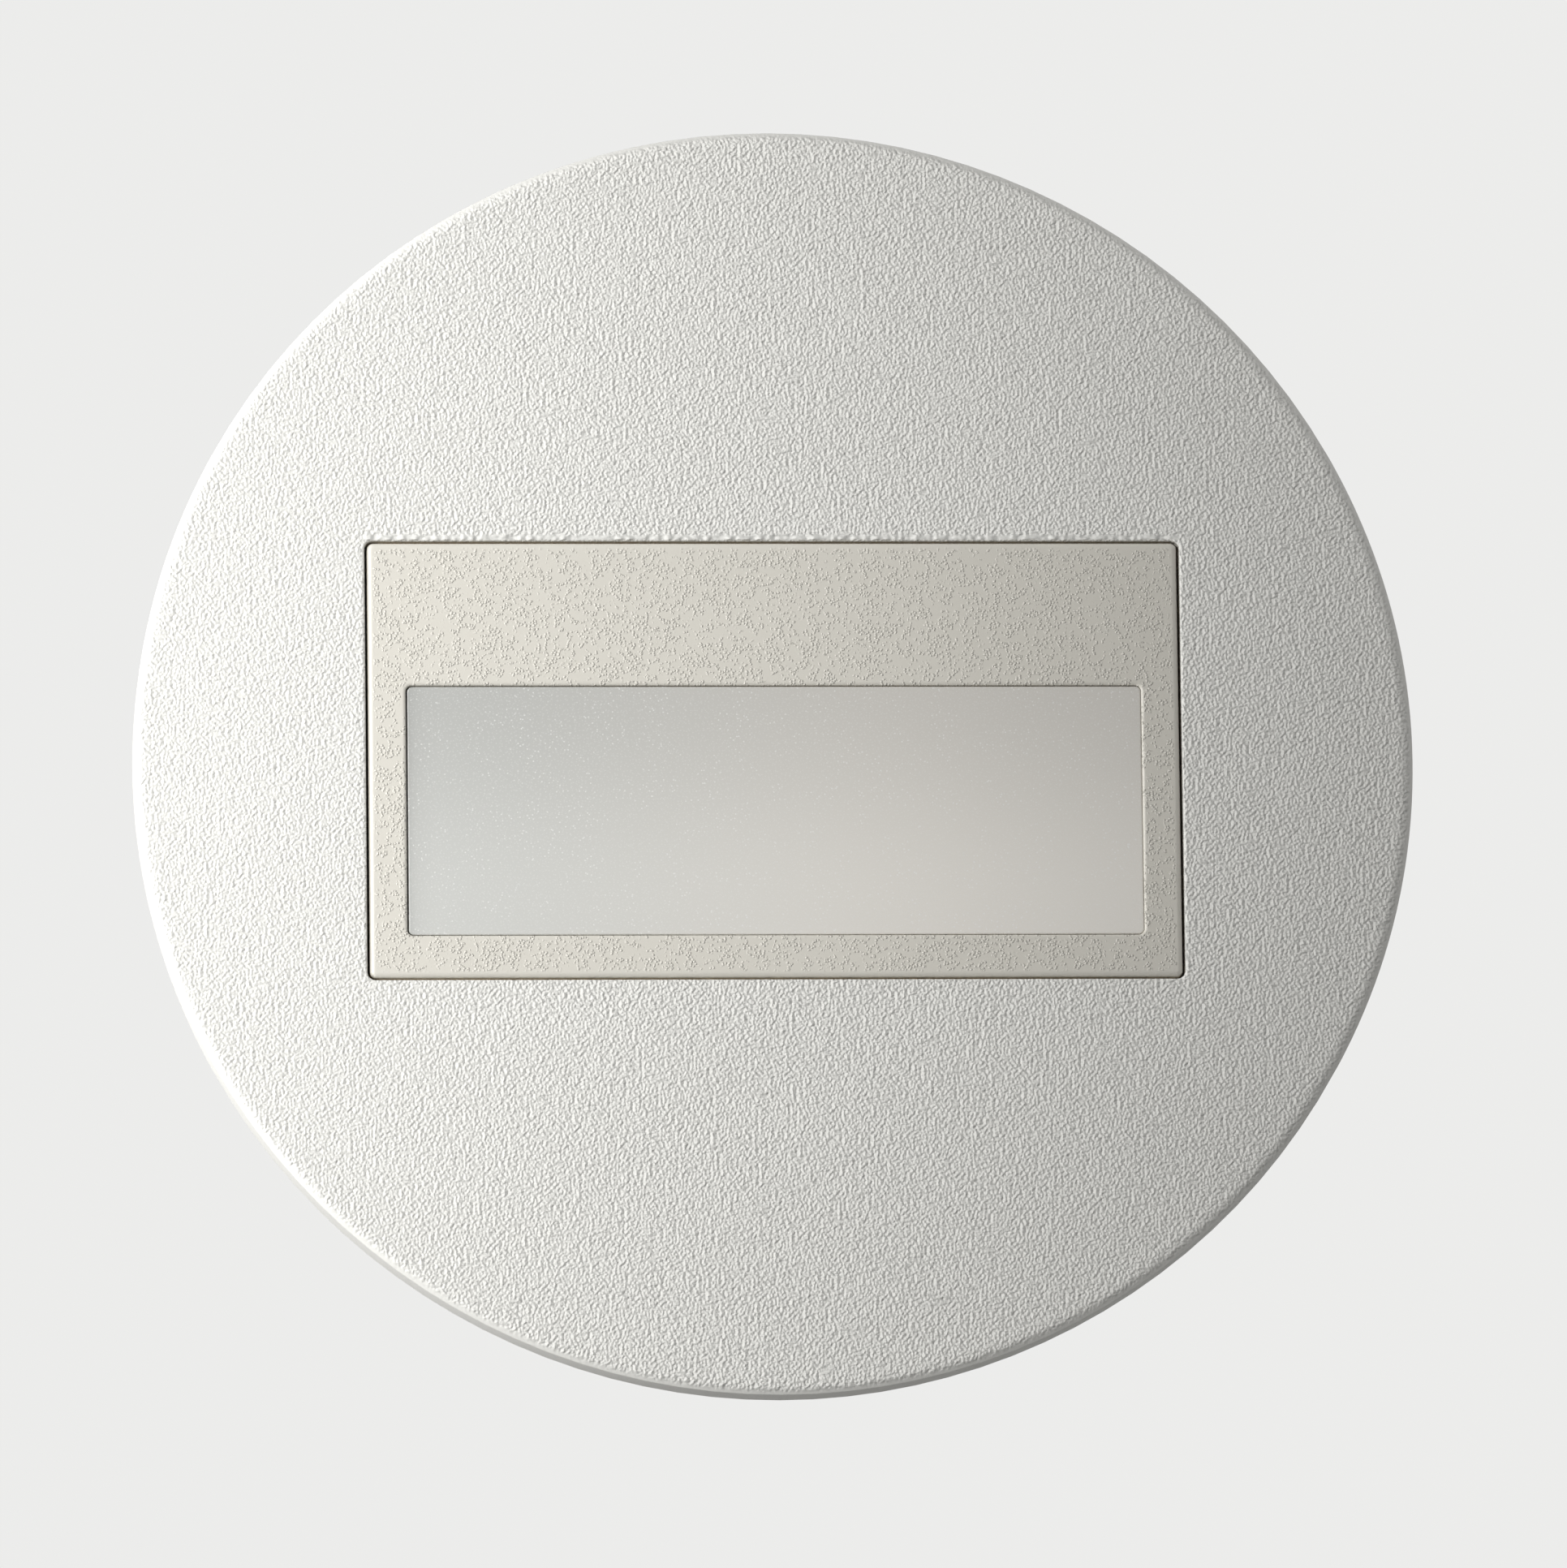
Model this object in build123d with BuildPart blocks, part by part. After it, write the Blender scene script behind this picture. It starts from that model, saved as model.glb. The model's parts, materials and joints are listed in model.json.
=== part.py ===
from build123d import *
from math import cos, radians, sin
import os

# A round step light for a 60 mm wall box, in millimetres. The wall is the plane Y = 0, the room lies
# on its -Y side, the wall box on its +Y side, and Z points up. The origin is midway between the two
# box screws. Heights run from the wall into the room, and depths run from the wall into the box.

# Mounting frame
box_screw_spacing = 60.0
box_slot_width = 4.2
box_slot_length = 5.6
frame_edge_margin = 2.0
frame_thickness = 0.8
frame_panel_gap = 0.3
frame_notch_radius = 0.9

# Foam ring between the cover and the wall
seal_width = 3.3
seal_frame_gap = 0.3
seal_side_gap = 0.5

# Cover
cover_height = 3.0
cover_wall = 1.1
cover_edge_radius = 1.0
cover_inner_chamfer = 0.4
rim_gap = 0.3
aperture_edge_radius = 0.3
collar_wall = 0.7
collar_depth = 0.8
rib_count = 16
rib_width = 1.0
rib_depth = 0.5

# Light panel
panel_slot_margin = 1.85
panel_height = 27.5
panel_corner_radius = 0.5
panel_edge_radius = 0.4
panel_gap = 0.22
panel_front_wall = 1.4
panel_side_wall = 1.0
panel_flange_thickness = 1.6
window_side_margin = 2.35
window_bottom_margin = 2.65
window_top_row = 4.7
window_corner_radius = 0.4

# Lens
lens_recess = 0.12
lens_gap = 0.06
lens_lip = 1.0
lens_lip_thickness = 1.2

# Cover springs
spring_thickness = 0.3
spring_width = 5.0
spring_spacing = 25.0
spring_crest_inset = 10.2
spring_foot_length = 5.0
spring_bend_radius = 0.6
spring_lead_angle = 8.0
spring_tail_angle = 12.0
spring_tail_length = 5.0
spring_grip_gap = 0.08
spring_window_side_gap = 0.4
stud_radius = 0.8
stud_head_radius = 1.3
stud_head_thickness = 0.3

# Housing
can_side_lap = 0.45
can_end_lap = 4.75
can_corner_radius = 6.0
can_wall = 1.5
can_head_room = 1.0
gasket_thickness = 0.8
partition_depth = 12.4
partition_thickness = 1.2
boss_edge_inset = 0.1

# Screws that clamp the frame, the panel and the housing
frame_screw_spacing = 34.0
frame_screw_radius = 1.0
frame_screw_head_radius = 1.6
frame_screw_head_height = 0.8
frame_screw_depth = 8.5
frame_boss_radius = 1.9
frame_boss_depth = 10.0
screw_hole_clearance = 0.15

# Reflector
reflector_wall = 1.0
reflector_floor_depth = 2.5
reflector_back_row = 2.0
reflector_top_rise = 2.2

# LED board
led_board_thickness = 1.0
led_board_end_inset = 0.6
led_board_edge_gap = 0.4
led_count = 6
led_end_gap = 1.7
led_length = 2.8
led_width = 3.5
led_height = 0.7
board_screw_inset = 2.4
board_screw_radius = 0.8
board_screw_head_radius = 1.4
board_screw_head_height = 0.6
board_screw_reach = 1.2

# Heat sink
sink_end_inset = 2.0
sink_base = 1.6
sink_top_gap = 0.25
fin_count = 5
fin_thickness = 0.9

# Pins that link the two boards
link_pin_inset = 5.4
link_pin_radius = 0.4
link_pin_clearance = 0.05
link_pin_stub = 0.6

# Driver board and its components
driver_board_side_gap = 2.3
driver_board_end_gap = 4.5
driver_board_corner_radius = 2.0
driver_board_thickness = 1.6
driver_post_height = 1.8
driver_post_radius = 1.6
driver_post_inset_x = 3.0
driver_post_inset_z = 1.8
transformer_place = (8.0, 8.0)
transformer_length = 12.0
transformer_width = 8.0
transformer_height = 9.0
transformer_core_thickness = 2.2
electrolytic_place = (17.0, -7.0)
electrolytic_radius = 4.0
electrolytic_height = 8.5
film_place = (10.5, 1.0)
film_length = 10.0
film_width = 4.5
film_height = 7.5
rectifier_place = (19.0, 1.5)
rectifier_length = 5.0
rectifier_width = 4.0
rectifier_height = 1.6
fuse_place = (-14.5, 6.0)
fuse_radius = 1.5
fuse_length = 7.0
fuse_lead_radius = 0.35
fuse_lead_reach = 1.2
chip_place = (-9.0, 8.0)
chip_length = 5.0
chip_width = 4.0
chip_height = 1.5

# Terminal block
terminal_place = (1.0, -7.5)
terminal_length = 9.0
terminal_width = 8.4
terminal_height = 8.0
terminal_pitch = 4.2
terminal_entry_radius = 1.3
terminal_entry_reach = 5.0
terminal_screw_radius = 1.3
terminal_screw_head_height = 1.0
terminal_screw_recess = 0.4

# Rear cap and its screws
cap_thickness = 1.8
cap_edge_chamfer = 0.6
cap_spigot_depth = 1.4
cap_spigot_wall = 1.2
cap_spigot_gap = 0.1
cap_screw_spacing = 34.0
cap_screw_radius = 1.0
cap_screw_head_radius = 1.8
cap_screw_head_height = 1.0
cap_screw_depth = 7.0
cap_boss_radius = 2.0
cap_boss_overlap = 0.4

# Cable inlet
inlet_place = (-13.0, -3.0)
inlet_bore_radius = 3.25
grommet_neck_radius = 4.4
grommet_flange_radius = 5.8
grommet_outer_flange = 1.6
grommet_inner_flange = 1.2
grommet_neck_gap = 0.05
grommet_edge_chamfer = 0.6

# Spreader claws
claw_lever = 4.4
claw_pivot_inset = 5.0
claw_width = 8.0
claw_sheet = 1.2
claw_knuckle_radius = 1.9
claw_tip_depth = 5.0
claw_cheek_thickness = 1.0
claw_cheek_height = 2.0
claw_cheek_tip_gap = 3.5
claw_cheek_pivot_gap = 3.0
claw_tooth_count = 3
claw_tooth_pitch = 1.7
claw_tooth_height = 1.5
claw_lug_thickness = 1.5
claw_lug_gap = 0.4
claw_swing_room = 0.7
pin_radius = 1.0
pin_running_gap = 0.05
pin_head_radius = 1.6
pin_head_thickness = 0.5
ear_gap = 0.3
ear_thickness = 1.7
ear_radius = 2.3
ear_root_length = 9.0
ear_root_sink = 0.8

# Claw screws
claw_screw_can_gap = 3.5
claw_screw_radius = 1.5
claw_screw_head_radius = 2.5
claw_screw_head_height = 0.9
claw_screw_reach = 4.5
claw_screw_gap = 0.08
claw_screw_tip_chamfer = 0.4
drive_slot_width = 0.6
drive_slot_share = 0.55

# Sizes across the wall that follow from the box screws
frame_radius = (box_screw_spacing + box_slot_length) / 2 + frame_edge_margin
seal_inner_radius = frame_radius + seal_frame_gap
seal_outer_radius = seal_inner_radius + seal_width
cover_radius = seal_outer_radius + seal_side_gap + cover_wall
rib_outer_radius = seal_inner_radius - seal_side_gap
panel_width = box_screw_spacing - box_slot_length - 2 * panel_slot_margin
aperture_width = panel_width + 2 * panel_gap
aperture_height = panel_height + 2 * panel_gap
aperture_corner_radius = panel_corner_radius + panel_gap
can_width = panel_width + 2 * can_side_lap
can_height = panel_height + 2 * can_end_lap
spring_crest_row = frame_radius - spring_crest_inset
spring_foot_row = spring_crest_row + spring_bend_radius
frame_screw_row = can_height / 2 - frame_boss_radius - boss_edge_inset
cap_screw_row = can_height / 2 - can_wall - cap_boss_radius + cap_boss_overlap

# Window, lens, reflector, LED board and heat sink
window_width = panel_width - 2 * window_side_margin
window_bottom_row = window_bottom_margin - panel_height / 2
window_height = window_top_row - window_bottom_row
window_row = (window_top_row + window_bottom_row) / 2
lens_lip_width = window_width + 2 * lens_lip
lens_lip_height = window_height + 2 * lens_lip
reflector_floor_row = window_bottom_row - lens_lip
reflector_top_row = window_top_row + reflector_top_rise
led_board_width = lens_lip_width - 2 * led_board_end_inset
board_screw_spacing = led_board_width - 2 * board_screw_inset
led_row_length = board_screw_spacing - 2 * board_screw_head_radius - 2 * led_end_gap
led_pitch = (led_row_length - led_length) / (led_count - 1)
link_pin_spacing = led_board_width - 2 * link_pin_inset
link_pin_row = reflector_top_row + led_board_thickness / 2
led_board_top_row = reflector_top_row + led_board_thickness
sink_width = lens_lip_width - 2 * sink_end_inset
sink_height = panel_height / 2 - panel_side_wall - sink_top_gap - led_board_top_row

# Heights and depths that follow
cover_back = cover_height - cover_wall
panel_wall_back = cover_height - panel_front_wall
lens_front = cover_height - lens_recess
lens_back = panel_wall_back - lens_lip_thickness
can_front = panel_flange_thickness + gasket_thickness
partition_back = partition_depth + partition_thickness
led_board_front = -lens_back + led_board_edge_gap
led_board_back = partition_depth - led_board_edge_gap
led_board_mid_depth = (led_board_front + led_board_back) / 2
driver_board_width = can_width - 2 * can_wall - 2 * driver_board_side_gap
driver_board_height = can_height - 2 * can_wall - 2 * driver_board_end_gap
driver_board_front = partition_back + driver_post_height
driver_board_back = driver_board_front + driver_board_thickness
component_height = max(transformer_height, electrolytic_height, film_height, terminal_height)
can_depth = driver_board_back + component_height + can_head_room
cap_back = can_depth + cap_thickness

# Claws, their pivots and their screws
claw_screw_row = can_height / 2 + claw_screw_can_gap
claw_pivot_row = claw_screw_row + claw_lever
claw_lug_end_row = can_height / 2 + claw_lug_gap
claw_pivot_depth = can_depth - claw_pivot_inset
claw_screw_end_depth = claw_pivot_depth + claw_screw_reach
ear_inner = claw_width / 2 + ear_gap
ear_outer = ear_inner + ear_thickness


def at_height(height):
    """A plane parallel to the wall, facing the room, with X across and Z up."""
    return Plane.XZ.offset(height)


def at_depth(depth):
    """The same plane behind the wall's face."""
    return Plane.XZ.offset(-depth)


def can_section(inset):
    """The housing's rounded outline, drawn inwards of its outer faces."""
    RectangleRounded(can_width - 2 * inset, can_height - 2 * inset, can_corner_radius - inset)


def save(part, name):
    part.label = name
    export_step(part, f"parts/{name}.step")


# Cover, turned from its half section, with ribs, riveting studs and a collar on its back
with BuildPart() as cover_plate:
    with BuildSketch(Plane.XY) as half_section:
        with BuildLine():
            Polyline(
                (0, -cover_height),
                (cover_radius, -cover_height),
                (cover_radius, -rim_gap),
                (cover_radius - cover_wall, -rim_gap),
                (cover_radius - cover_wall, -cover_back),
                (0, -cover_back),
                close=True,
            )
        make_face()
        outer_corners = half_section.vertices().group_by(Axis.X)[-1]
        fillet(outer_corners.sort_by(Axis.Y)[0], cover_edge_radius)
        inner_corners = half_section.vertices().filter_by(lambda v: abs(v.Y + cover_back) < 0.01)
        chamfer(inner_corners.sort_by(Axis.X)[-1], cover_inner_chamfer)
    revolve(axis=Axis.Y)
    with BuildSketch(at_height(cover_back)):
        with PolarLocations(rib_outer_radius / 2, rib_count, start_angle=180 / rib_count):
            Rectangle(rib_outer_radius, rib_width)
        RectangleRounded(
            aperture_width + 2 * collar_wall,
            aperture_height + 2 * collar_wall,
            aperture_corner_radius + collar_wall,
            mode=Mode.SUBTRACT,
        )
    extrude(amount=-rib_depth)
    with BuildSketch(at_height(cover_back)):
        RectangleRounded(
            aperture_width + 2 * collar_wall,
            aperture_height + 2 * collar_wall,
            aperture_corner_radius + collar_wall,
        )
    extrude(amount=-collar_depth)
    with BuildSketch(at_height(cover_back)):
        with GridLocations(spring_spacing, 2 * (spring_foot_row + spring_foot_length / 2), 2, 2):
            Circle(stud_radius)
    extrude(amount=-spring_thickness)
    with BuildSketch(at_height(cover_back - spring_thickness)):
        with GridLocations(spring_spacing, 2 * (spring_foot_row + spring_foot_length / 2), 2, 2):
            Circle(stud_head_radius)
    extrude(amount=-stud_head_thickness)
    with BuildSketch(at_height(0)):
        RectangleRounded(aperture_width, aperture_height, aperture_corner_radius)
    extrude(amount=cover_height, mode=Mode.SUBTRACT)
    front_face = cover_plate.faces().sort_by(Axis.Y)[0]
    fillet(front_face.inner_wires()[0].edges(), aperture_edge_radius)
save(cover_plate.part, "cover_plate")

# Leaf springs: a riveted foot, a bend, a crest that grips in the frame's window and a tail
spring_crest_depth = -frame_thickness / 2
foot_middle = spring_thickness / 2 - cover_back
lead = radians(spring_lead_angle)
bend_end_depth = foot_middle + spring_bend_radius * (1 + sin(lead))
crest_radius = (spring_crest_depth - bend_end_depth) / sin(lead)
foot_end_row = (
    spring_crest_row - spring_thickness / 2 - crest_radius * (1 - cos(lead)) + spring_bend_radius * cos(lead)
)
with BuildPart() as cover_springs:
    with BuildSketch(Plane.YZ.offset(spring_spacing / 2 - spring_width / 2)):
        with BuildLine():
            foot = Line(
                (foot_middle, spring_foot_row + spring_foot_length),
                (foot_middle, foot_end_row),
            )
            bend = JernArc(foot @ 1, foot % 1, spring_bend_radius, 90 + spring_lead_angle)
            crest = JernArc(
                bend @ 1, bend % 1, crest_radius, -(spring_lead_angle + spring_tail_angle)
            )
            tail = Line(crest @ 1, (crest @ 1) + (crest % 1) * spring_tail_length)
        trace(line_width=spring_thickness)
    extrude(amount=spring_width)
    with BuildSketch(at_height(cover_back)):
        with Locations((spring_spacing / 2, spring_foot_row + spring_foot_length / 2)):
            Circle(stud_radius)
    extrude(amount=-spring_thickness, mode=Mode.SUBTRACT)
    mirror(about=Plane.YZ)
    mirror(about=Plane.XY)
save(cover_springs.part, "cover_springs")

# Foam ring between the cover and the wall
with BuildPart() as wall_seal:
    with BuildSketch(at_height(0)):
        Circle(seal_outer_radius)
        Circle(seal_inner_radius, mode=Mode.SUBTRACT)
    extrude(amount=cover_back)
save(wall_seal.part, "wall_seal")

# Mounting frame
tail_drop = crest_radius * (1 - cos(radians(spring_tail_angle)))
tail_drop = tail_drop + spring_tail_length * sin(radians(spring_tail_angle)) + spring_thickness
spring_window_top = spring_crest_row + spring_grip_gap
spring_window_bottom = spring_crest_row - tail_drop - spring_window_side_gap
with BuildPart() as mounting_frame:
    with BuildSketch(at_height(0)):
        Circle(frame_radius)
        with PolarLocations(frame_radius, 4):
            Circle(frame_notch_radius, mode=Mode.SUBTRACT)
        RectangleRounded(
            panel_width + 2 * frame_panel_gap,
            panel_height + 2 * frame_panel_gap,
            panel_corner_radius + frame_panel_gap,
            mode=Mode.SUBTRACT,
        )
        with GridLocations(box_screw_spacing, 0, 2, 1):
            SlotOverall(box_slot_length, box_slot_width, mode=Mode.SUBTRACT)
        with GridLocations(frame_screw_spacing, 2 * frame_screw_row, 2, 2):
            Circle(frame_screw_radius + screw_hole_clearance, mode=Mode.SUBTRACT)
        with GridLocations(spring_spacing, spring_window_top + spring_window_bottom, 2, 2):
            Rectangle(
                spring_width + 2 * spring_window_side_gap,
                spring_window_top - spring_window_bottom,
                mode=Mode.SUBTRACT,
            )
        with GridLocations(0, 2 * claw_screw_row, 1, 2):
            Circle(claw_screw_radius + claw_screw_gap, mode=Mode.SUBTRACT)
    extrude(amount=frame_thickness)
save(mounting_frame.part, "mounting_frame")

# Light panel: a hollow block through the frame, with a clamping flange behind it
with BuildPart() as light_panel:
    with BuildSketch(at_depth(panel_flange_thickness)):
        can_section(0)
    extrude(amount=panel_flange_thickness)
    with BuildSketch(at_height(0)):
        RectangleRounded(panel_width, panel_height, panel_corner_radius)
    extrude(amount=cover_height)
    fillet(light_panel.faces().sort_by(Axis.Y)[0].edges(), panel_edge_radius)
    with BuildSketch(at_depth(panel_flange_thickness)):
        RectangleRounded(
            panel_width - 2 * panel_side_wall,
            panel_height - 2 * panel_side_wall,
            panel_corner_radius,
        )
    extrude(amount=panel_flange_thickness + panel_wall_back, mode=Mode.SUBTRACT)
    with BuildSketch(at_height(panel_wall_back)):
        with Locations((0, window_row)):
            RectangleRounded(window_width, window_height, window_corner_radius)
    extrude(amount=panel_front_wall, mode=Mode.SUBTRACT)
    with BuildSketch(at_depth(panel_flange_thickness)):
        with GridLocations(frame_screw_spacing, 2 * frame_screw_row, 2, 2):
            Circle(frame_screw_radius + screw_hole_clearance)
    extrude(amount=panel_flange_thickness, mode=Mode.SUBTRACT)
save(light_panel.part, "light_panel")

# Lens: a plug in the window and a wider lip behind the panel's front wall
with BuildPart() as lens:
    with BuildSketch(at_height(lens_back)):
        with Locations((0, window_row)):
            Rectangle(lens_lip_width, lens_lip_height)
    extrude(amount=lens_lip_thickness)
    with BuildSketch(at_height(panel_wall_back)):
        with Locations((0, window_row)):
            RectangleRounded(
                window_width - 2 * lens_gap, window_height - 2 * lens_gap, window_corner_radius
            )
    extrude(amount=lens_front - panel_wall_back)
save(lens.part, "lens")

# Reflector: a chamber open to the lens and to the LED board above, with a slanted back wall
with BuildPart() as reflector:
    with BuildSketch(Plane.YZ.offset(-lens_lip_width / 2)):
        with BuildLine():
            Polyline(
                (-lens_back, reflector_floor_row),
                (reflector_floor_depth, reflector_floor_row),
                (partition_depth, reflector_back_row),
                (partition_depth, reflector_top_row),
                (-lens_back, reflector_top_row),
                close=True,
            )
        make_face()
    extrude(amount=lens_lip_width)
    with BuildSketch(Plane.YZ.offset(reflector_wall - lens_lip_width / 2)):
        with BuildLine():
            Polyline(
                (-lens_back + reflector_wall, reflector_floor_row + reflector_wall),
                (reflector_floor_depth, reflector_floor_row + reflector_wall),
                (partition_depth - reflector_wall, reflector_back_row),
                (partition_depth - reflector_wall, reflector_top_row),
                (-lens_back + reflector_wall, reflector_top_row),
                close=True,
            )
        make_face()
    extrude(amount=lens_lip_width - 2 * reflector_wall, mode=Mode.SUBTRACT)
    with BuildSketch(at_height(lens_back)):
        with Locations((0, (reflector_floor_row + reflector_wall + window_top_row) / 2)):
            Rectangle(
                lens_lip_width - 2 * reflector_wall,
                window_top_row - reflector_floor_row - reflector_wall,
            )
    extrude(amount=-reflector_wall, mode=Mode.SUBTRACT)
save(reflector.part, "reflector")

# LED board across the top of the reflector
with BuildPart() as led_board:
    with BuildSketch(Plane.XY.offset(reflector_top_row)):
        with Locations((0, led_board_mid_depth)):
            Rectangle(led_board_width, led_board_back - led_board_front)
        with Locations((0, led_board_mid_depth)), GridLocations(board_screw_spacing, 0, 2, 1):
            Circle(board_screw_radius, mode=Mode.SUBTRACT)
    extrude(amount=led_board_thickness)
save(led_board.part, "led_board")

with BuildPart() as leds:
    with BuildSketch(Plane.XY.offset(reflector_top_row)):
        with Locations((0, led_board_mid_depth)), GridLocations(led_pitch, 0, led_count, 1):
            Rectangle(led_length, led_width)
    extrude(amount=-led_height)
save(leds.part, "leds")

with BuildPart() as board_screws:
    with BuildSketch(Plane.XY.offset(reflector_top_row)):
        with Locations((0, led_board_mid_depth)), GridLocations(board_screw_spacing, 0, 2, 1):
            Circle(board_screw_head_radius)
    extrude(amount=-board_screw_head_height)
    with BuildSketch(Plane.XY.offset(reflector_top_row)):
        with Locations((0, led_board_mid_depth)), GridLocations(board_screw_spacing, 0, 2, 1):
            Circle(board_screw_radius)
    extrude(amount=led_board_thickness + board_screw_reach)
save(board_screws.part, "board_screws")

# Heat sink, an extrusion held between the panel's front wall and the housing's partition
sink_depth = panel_wall_back + partition_depth
sink_mid_depth = (partition_depth - panel_wall_back) / 2
with BuildPart() as heat_sink:
    with BuildSketch(Plane.YZ.offset(-sink_width / 2)):
        with Locations((sink_mid_depth, led_board_top_row + sink_base / 2)):
            Rectangle(sink_depth, sink_base)
        fin_pitch = (sink_depth - fin_thickness) / (fin_count - 1)
        with Locations((sink_mid_depth, led_board_top_row + sink_height / 2)):
            with GridLocations(fin_pitch, 0, fin_count, 1):
                Rectangle(fin_thickness, sink_height)
    extrude(amount=sink_width)
    with BuildSketch(Plane.XY.offset(led_board_top_row)):
        with Locations((0, led_board_mid_depth)), GridLocations(board_screw_spacing, 0, 2, 1):
            Circle(board_screw_radius)
    extrude(amount=board_screw_reach, mode=Mode.SUBTRACT)
save(heat_sink.part, "heat_sink")

# Flat gasket between the panel's flange and the housing
with BuildPart() as panel_seal:
    with BuildSketch(at_depth(can_front)):
        can_section(0)
    extrude(amount=gasket_thickness)
    with BuildSketch(at_depth(can_front)):
        can_section(can_wall)
    extrude(amount=gasket_thickness, mode=Mode.SUBTRACT)
    with BuildSketch(at_depth(can_front)):
        with GridLocations(frame_screw_spacing, 2 * frame_screw_row, 2, 2):
            Circle(frame_boss_radius)
    extrude(amount=gasket_thickness)
    with BuildSketch(at_depth(can_front)):
        with GridLocations(frame_screw_spacing, 2 * frame_screw_row, 2, 2):
            Circle(frame_screw_radius + screw_hole_clearance)
    extrude(amount=gasket_thickness, mode=Mode.SUBTRACT)
save(panel_seal.part, "panel_seal")

# Housing: a can with a partition, screw bosses, board posts and two pairs of claw ears
with BuildPart() as housing:
    with BuildSketch(at_depth(can_depth)):
        can_section(0)
    extrude(amount=can_depth - can_front)
    with BuildSketch(at_depth(partition_depth)):
        can_section(can_wall)
    extrude(amount=partition_depth - can_front, mode=Mode.SUBTRACT)
    with BuildSketch(at_depth(can_depth)):
        can_section(can_wall)
    extrude(amount=can_depth - partition_back, mode=Mode.SUBTRACT)
    with BuildSketch(at_depth(frame_boss_depth)):
        with GridLocations(frame_screw_spacing, 2 * frame_screw_row, 2, 2):
            Circle(frame_boss_radius)
    extrude(amount=frame_boss_depth - can_front)
    with BuildSketch(at_depth(can_depth)):
        with GridLocations(cap_screw_spacing, 2 * cap_screw_row, 2, 2):
            Circle(cap_boss_radius)
    extrude(amount=can_depth - partition_back)
    with BuildSketch(at_depth(driver_board_front)):
        with GridLocations(
            driver_board_width - 2 * driver_post_inset_x,
            driver_board_height - 2 * driver_post_inset_z,
            2,
            2,
        ):
            Circle(driver_post_radius)
    extrude(amount=driver_post_height)
    for side in (1, -1):
        with BuildSketch(Plane.YZ.offset(-ear_outer)) as ear:
            with Locations((claw_pivot_depth, side * claw_pivot_row)):
                Circle(ear_radius)
            ear_root_row = side * (can_height / 2 - ear_root_sink)
            with BuildLine():
                Polyline(
                    (claw_pivot_depth - ear_root_length / 2, ear_root_row),
                    (claw_pivot_depth + ear_root_length / 2, ear_root_row),
                    (claw_pivot_depth + ear_radius, side * claw_pivot_row),
                    (claw_pivot_depth - ear_radius, side * claw_pivot_row),
                    close=True,
                )
            make_face()
            with Locations((claw_pivot_depth, side * claw_pivot_row)):
                Circle(pin_radius, mode=Mode.SUBTRACT)
        extrude(amount=ear_thickness)
        with BuildSketch(Plane.YZ.offset(ear_inner)):
            add(ear.sketch_local)
        extrude(amount=ear_thickness)
    with BuildSketch(at_depth(frame_screw_depth)):
        with GridLocations(frame_screw_spacing, 2 * frame_screw_row, 2, 2):
            Circle(frame_screw_radius)
    extrude(amount=frame_screw_depth - can_front, mode=Mode.SUBTRACT)
    with BuildSketch(at_depth(can_depth)):
        with GridLocations(cap_screw_spacing, 2 * cap_screw_row, 2, 2):
            Circle(cap_screw_radius)
    extrude(amount=cap_screw_depth, mode=Mode.SUBTRACT)
    with BuildSketch(at_depth(partition_back)):
        with Locations((0, link_pin_row)):
            with GridLocations(link_pin_spacing, 0, 2, 1):
                Circle(link_pin_radius + link_pin_clearance)
    extrude(amount=partition_thickness, mode=Mode.SUBTRACT)
save(housing.part, "housing")

# Link pins from the LED board's rear edge through the partition and the driver board
with BuildPart() as link_pins:
    with BuildSketch(at_depth(led_board_back)):
        with Locations((0, link_pin_row)):
            with GridLocations(link_pin_spacing, 0, 2, 1):
                Circle(link_pin_radius)
    extrude(amount=led_board_back - driver_board_back - link_pin_stub)
save(link_pins.part, "link_pins")

# Driver board
with BuildPart() as driver_board:
    with BuildSketch(at_depth(driver_board_back)):
        RectangleRounded(driver_board_width, driver_board_height, driver_board_corner_radius)
        with Locations((0, link_pin_row)):
            with GridLocations(link_pin_spacing, 0, 2, 1):
                Circle(link_pin_radius + link_pin_clearance, mode=Mode.SUBTRACT)
    extrude(amount=driver_board_thickness)
save(driver_board.part, "driver_board")

# Transformer: a wound middle between the legs of its core
with BuildPart() as transformer:
    with BuildSketch(at_depth(driver_board_back)):
        with Locations(transformer_place):
            Rectangle(transformer_length, transformer_width - 2 * transformer_core_thickness)
    extrude(amount=-transformer_height)
    with BuildSketch(at_depth(driver_board_back)):
        with Locations(transformer_place):
            Rectangle(transformer_length - 2 * transformer_core_thickness, transformer_width)
    extrude(amount=-transformer_height + transformer_core_thickness)
save(transformer.part, "transformer")

with BuildPart() as electrolytic_capacitor:
    with BuildSketch(at_depth(driver_board_back)):
        with Locations(electrolytic_place):
            Circle(electrolytic_radius)
    extrude(amount=-electrolytic_height)
    chamfer(electrolytic_capacitor.edges().group_by(Axis.Y)[-1], electrolytic_radius / 8)
save(electrolytic_capacitor.part, "electrolytic_capacitor")

with BuildPart() as film_capacitor:
    with BuildSketch(at_depth(driver_board_back)):
        with Locations(film_place):
            Rectangle(film_length, film_width)
    extrude(amount=-film_height)
    chamfer(film_capacitor.edges().group_by(Axis.Y)[-1], film_width / 10)
save(film_capacitor.part, "film_capacitor")

with BuildPart() as bridge_rectifier:
    with BuildSketch(at_depth(driver_board_back)):
        with Locations(rectifier_place):
            Rectangle(rectifier_length, rectifier_width)
    extrude(amount=-rectifier_height)
save(bridge_rectifier.part, "bridge_rectifier")

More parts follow.
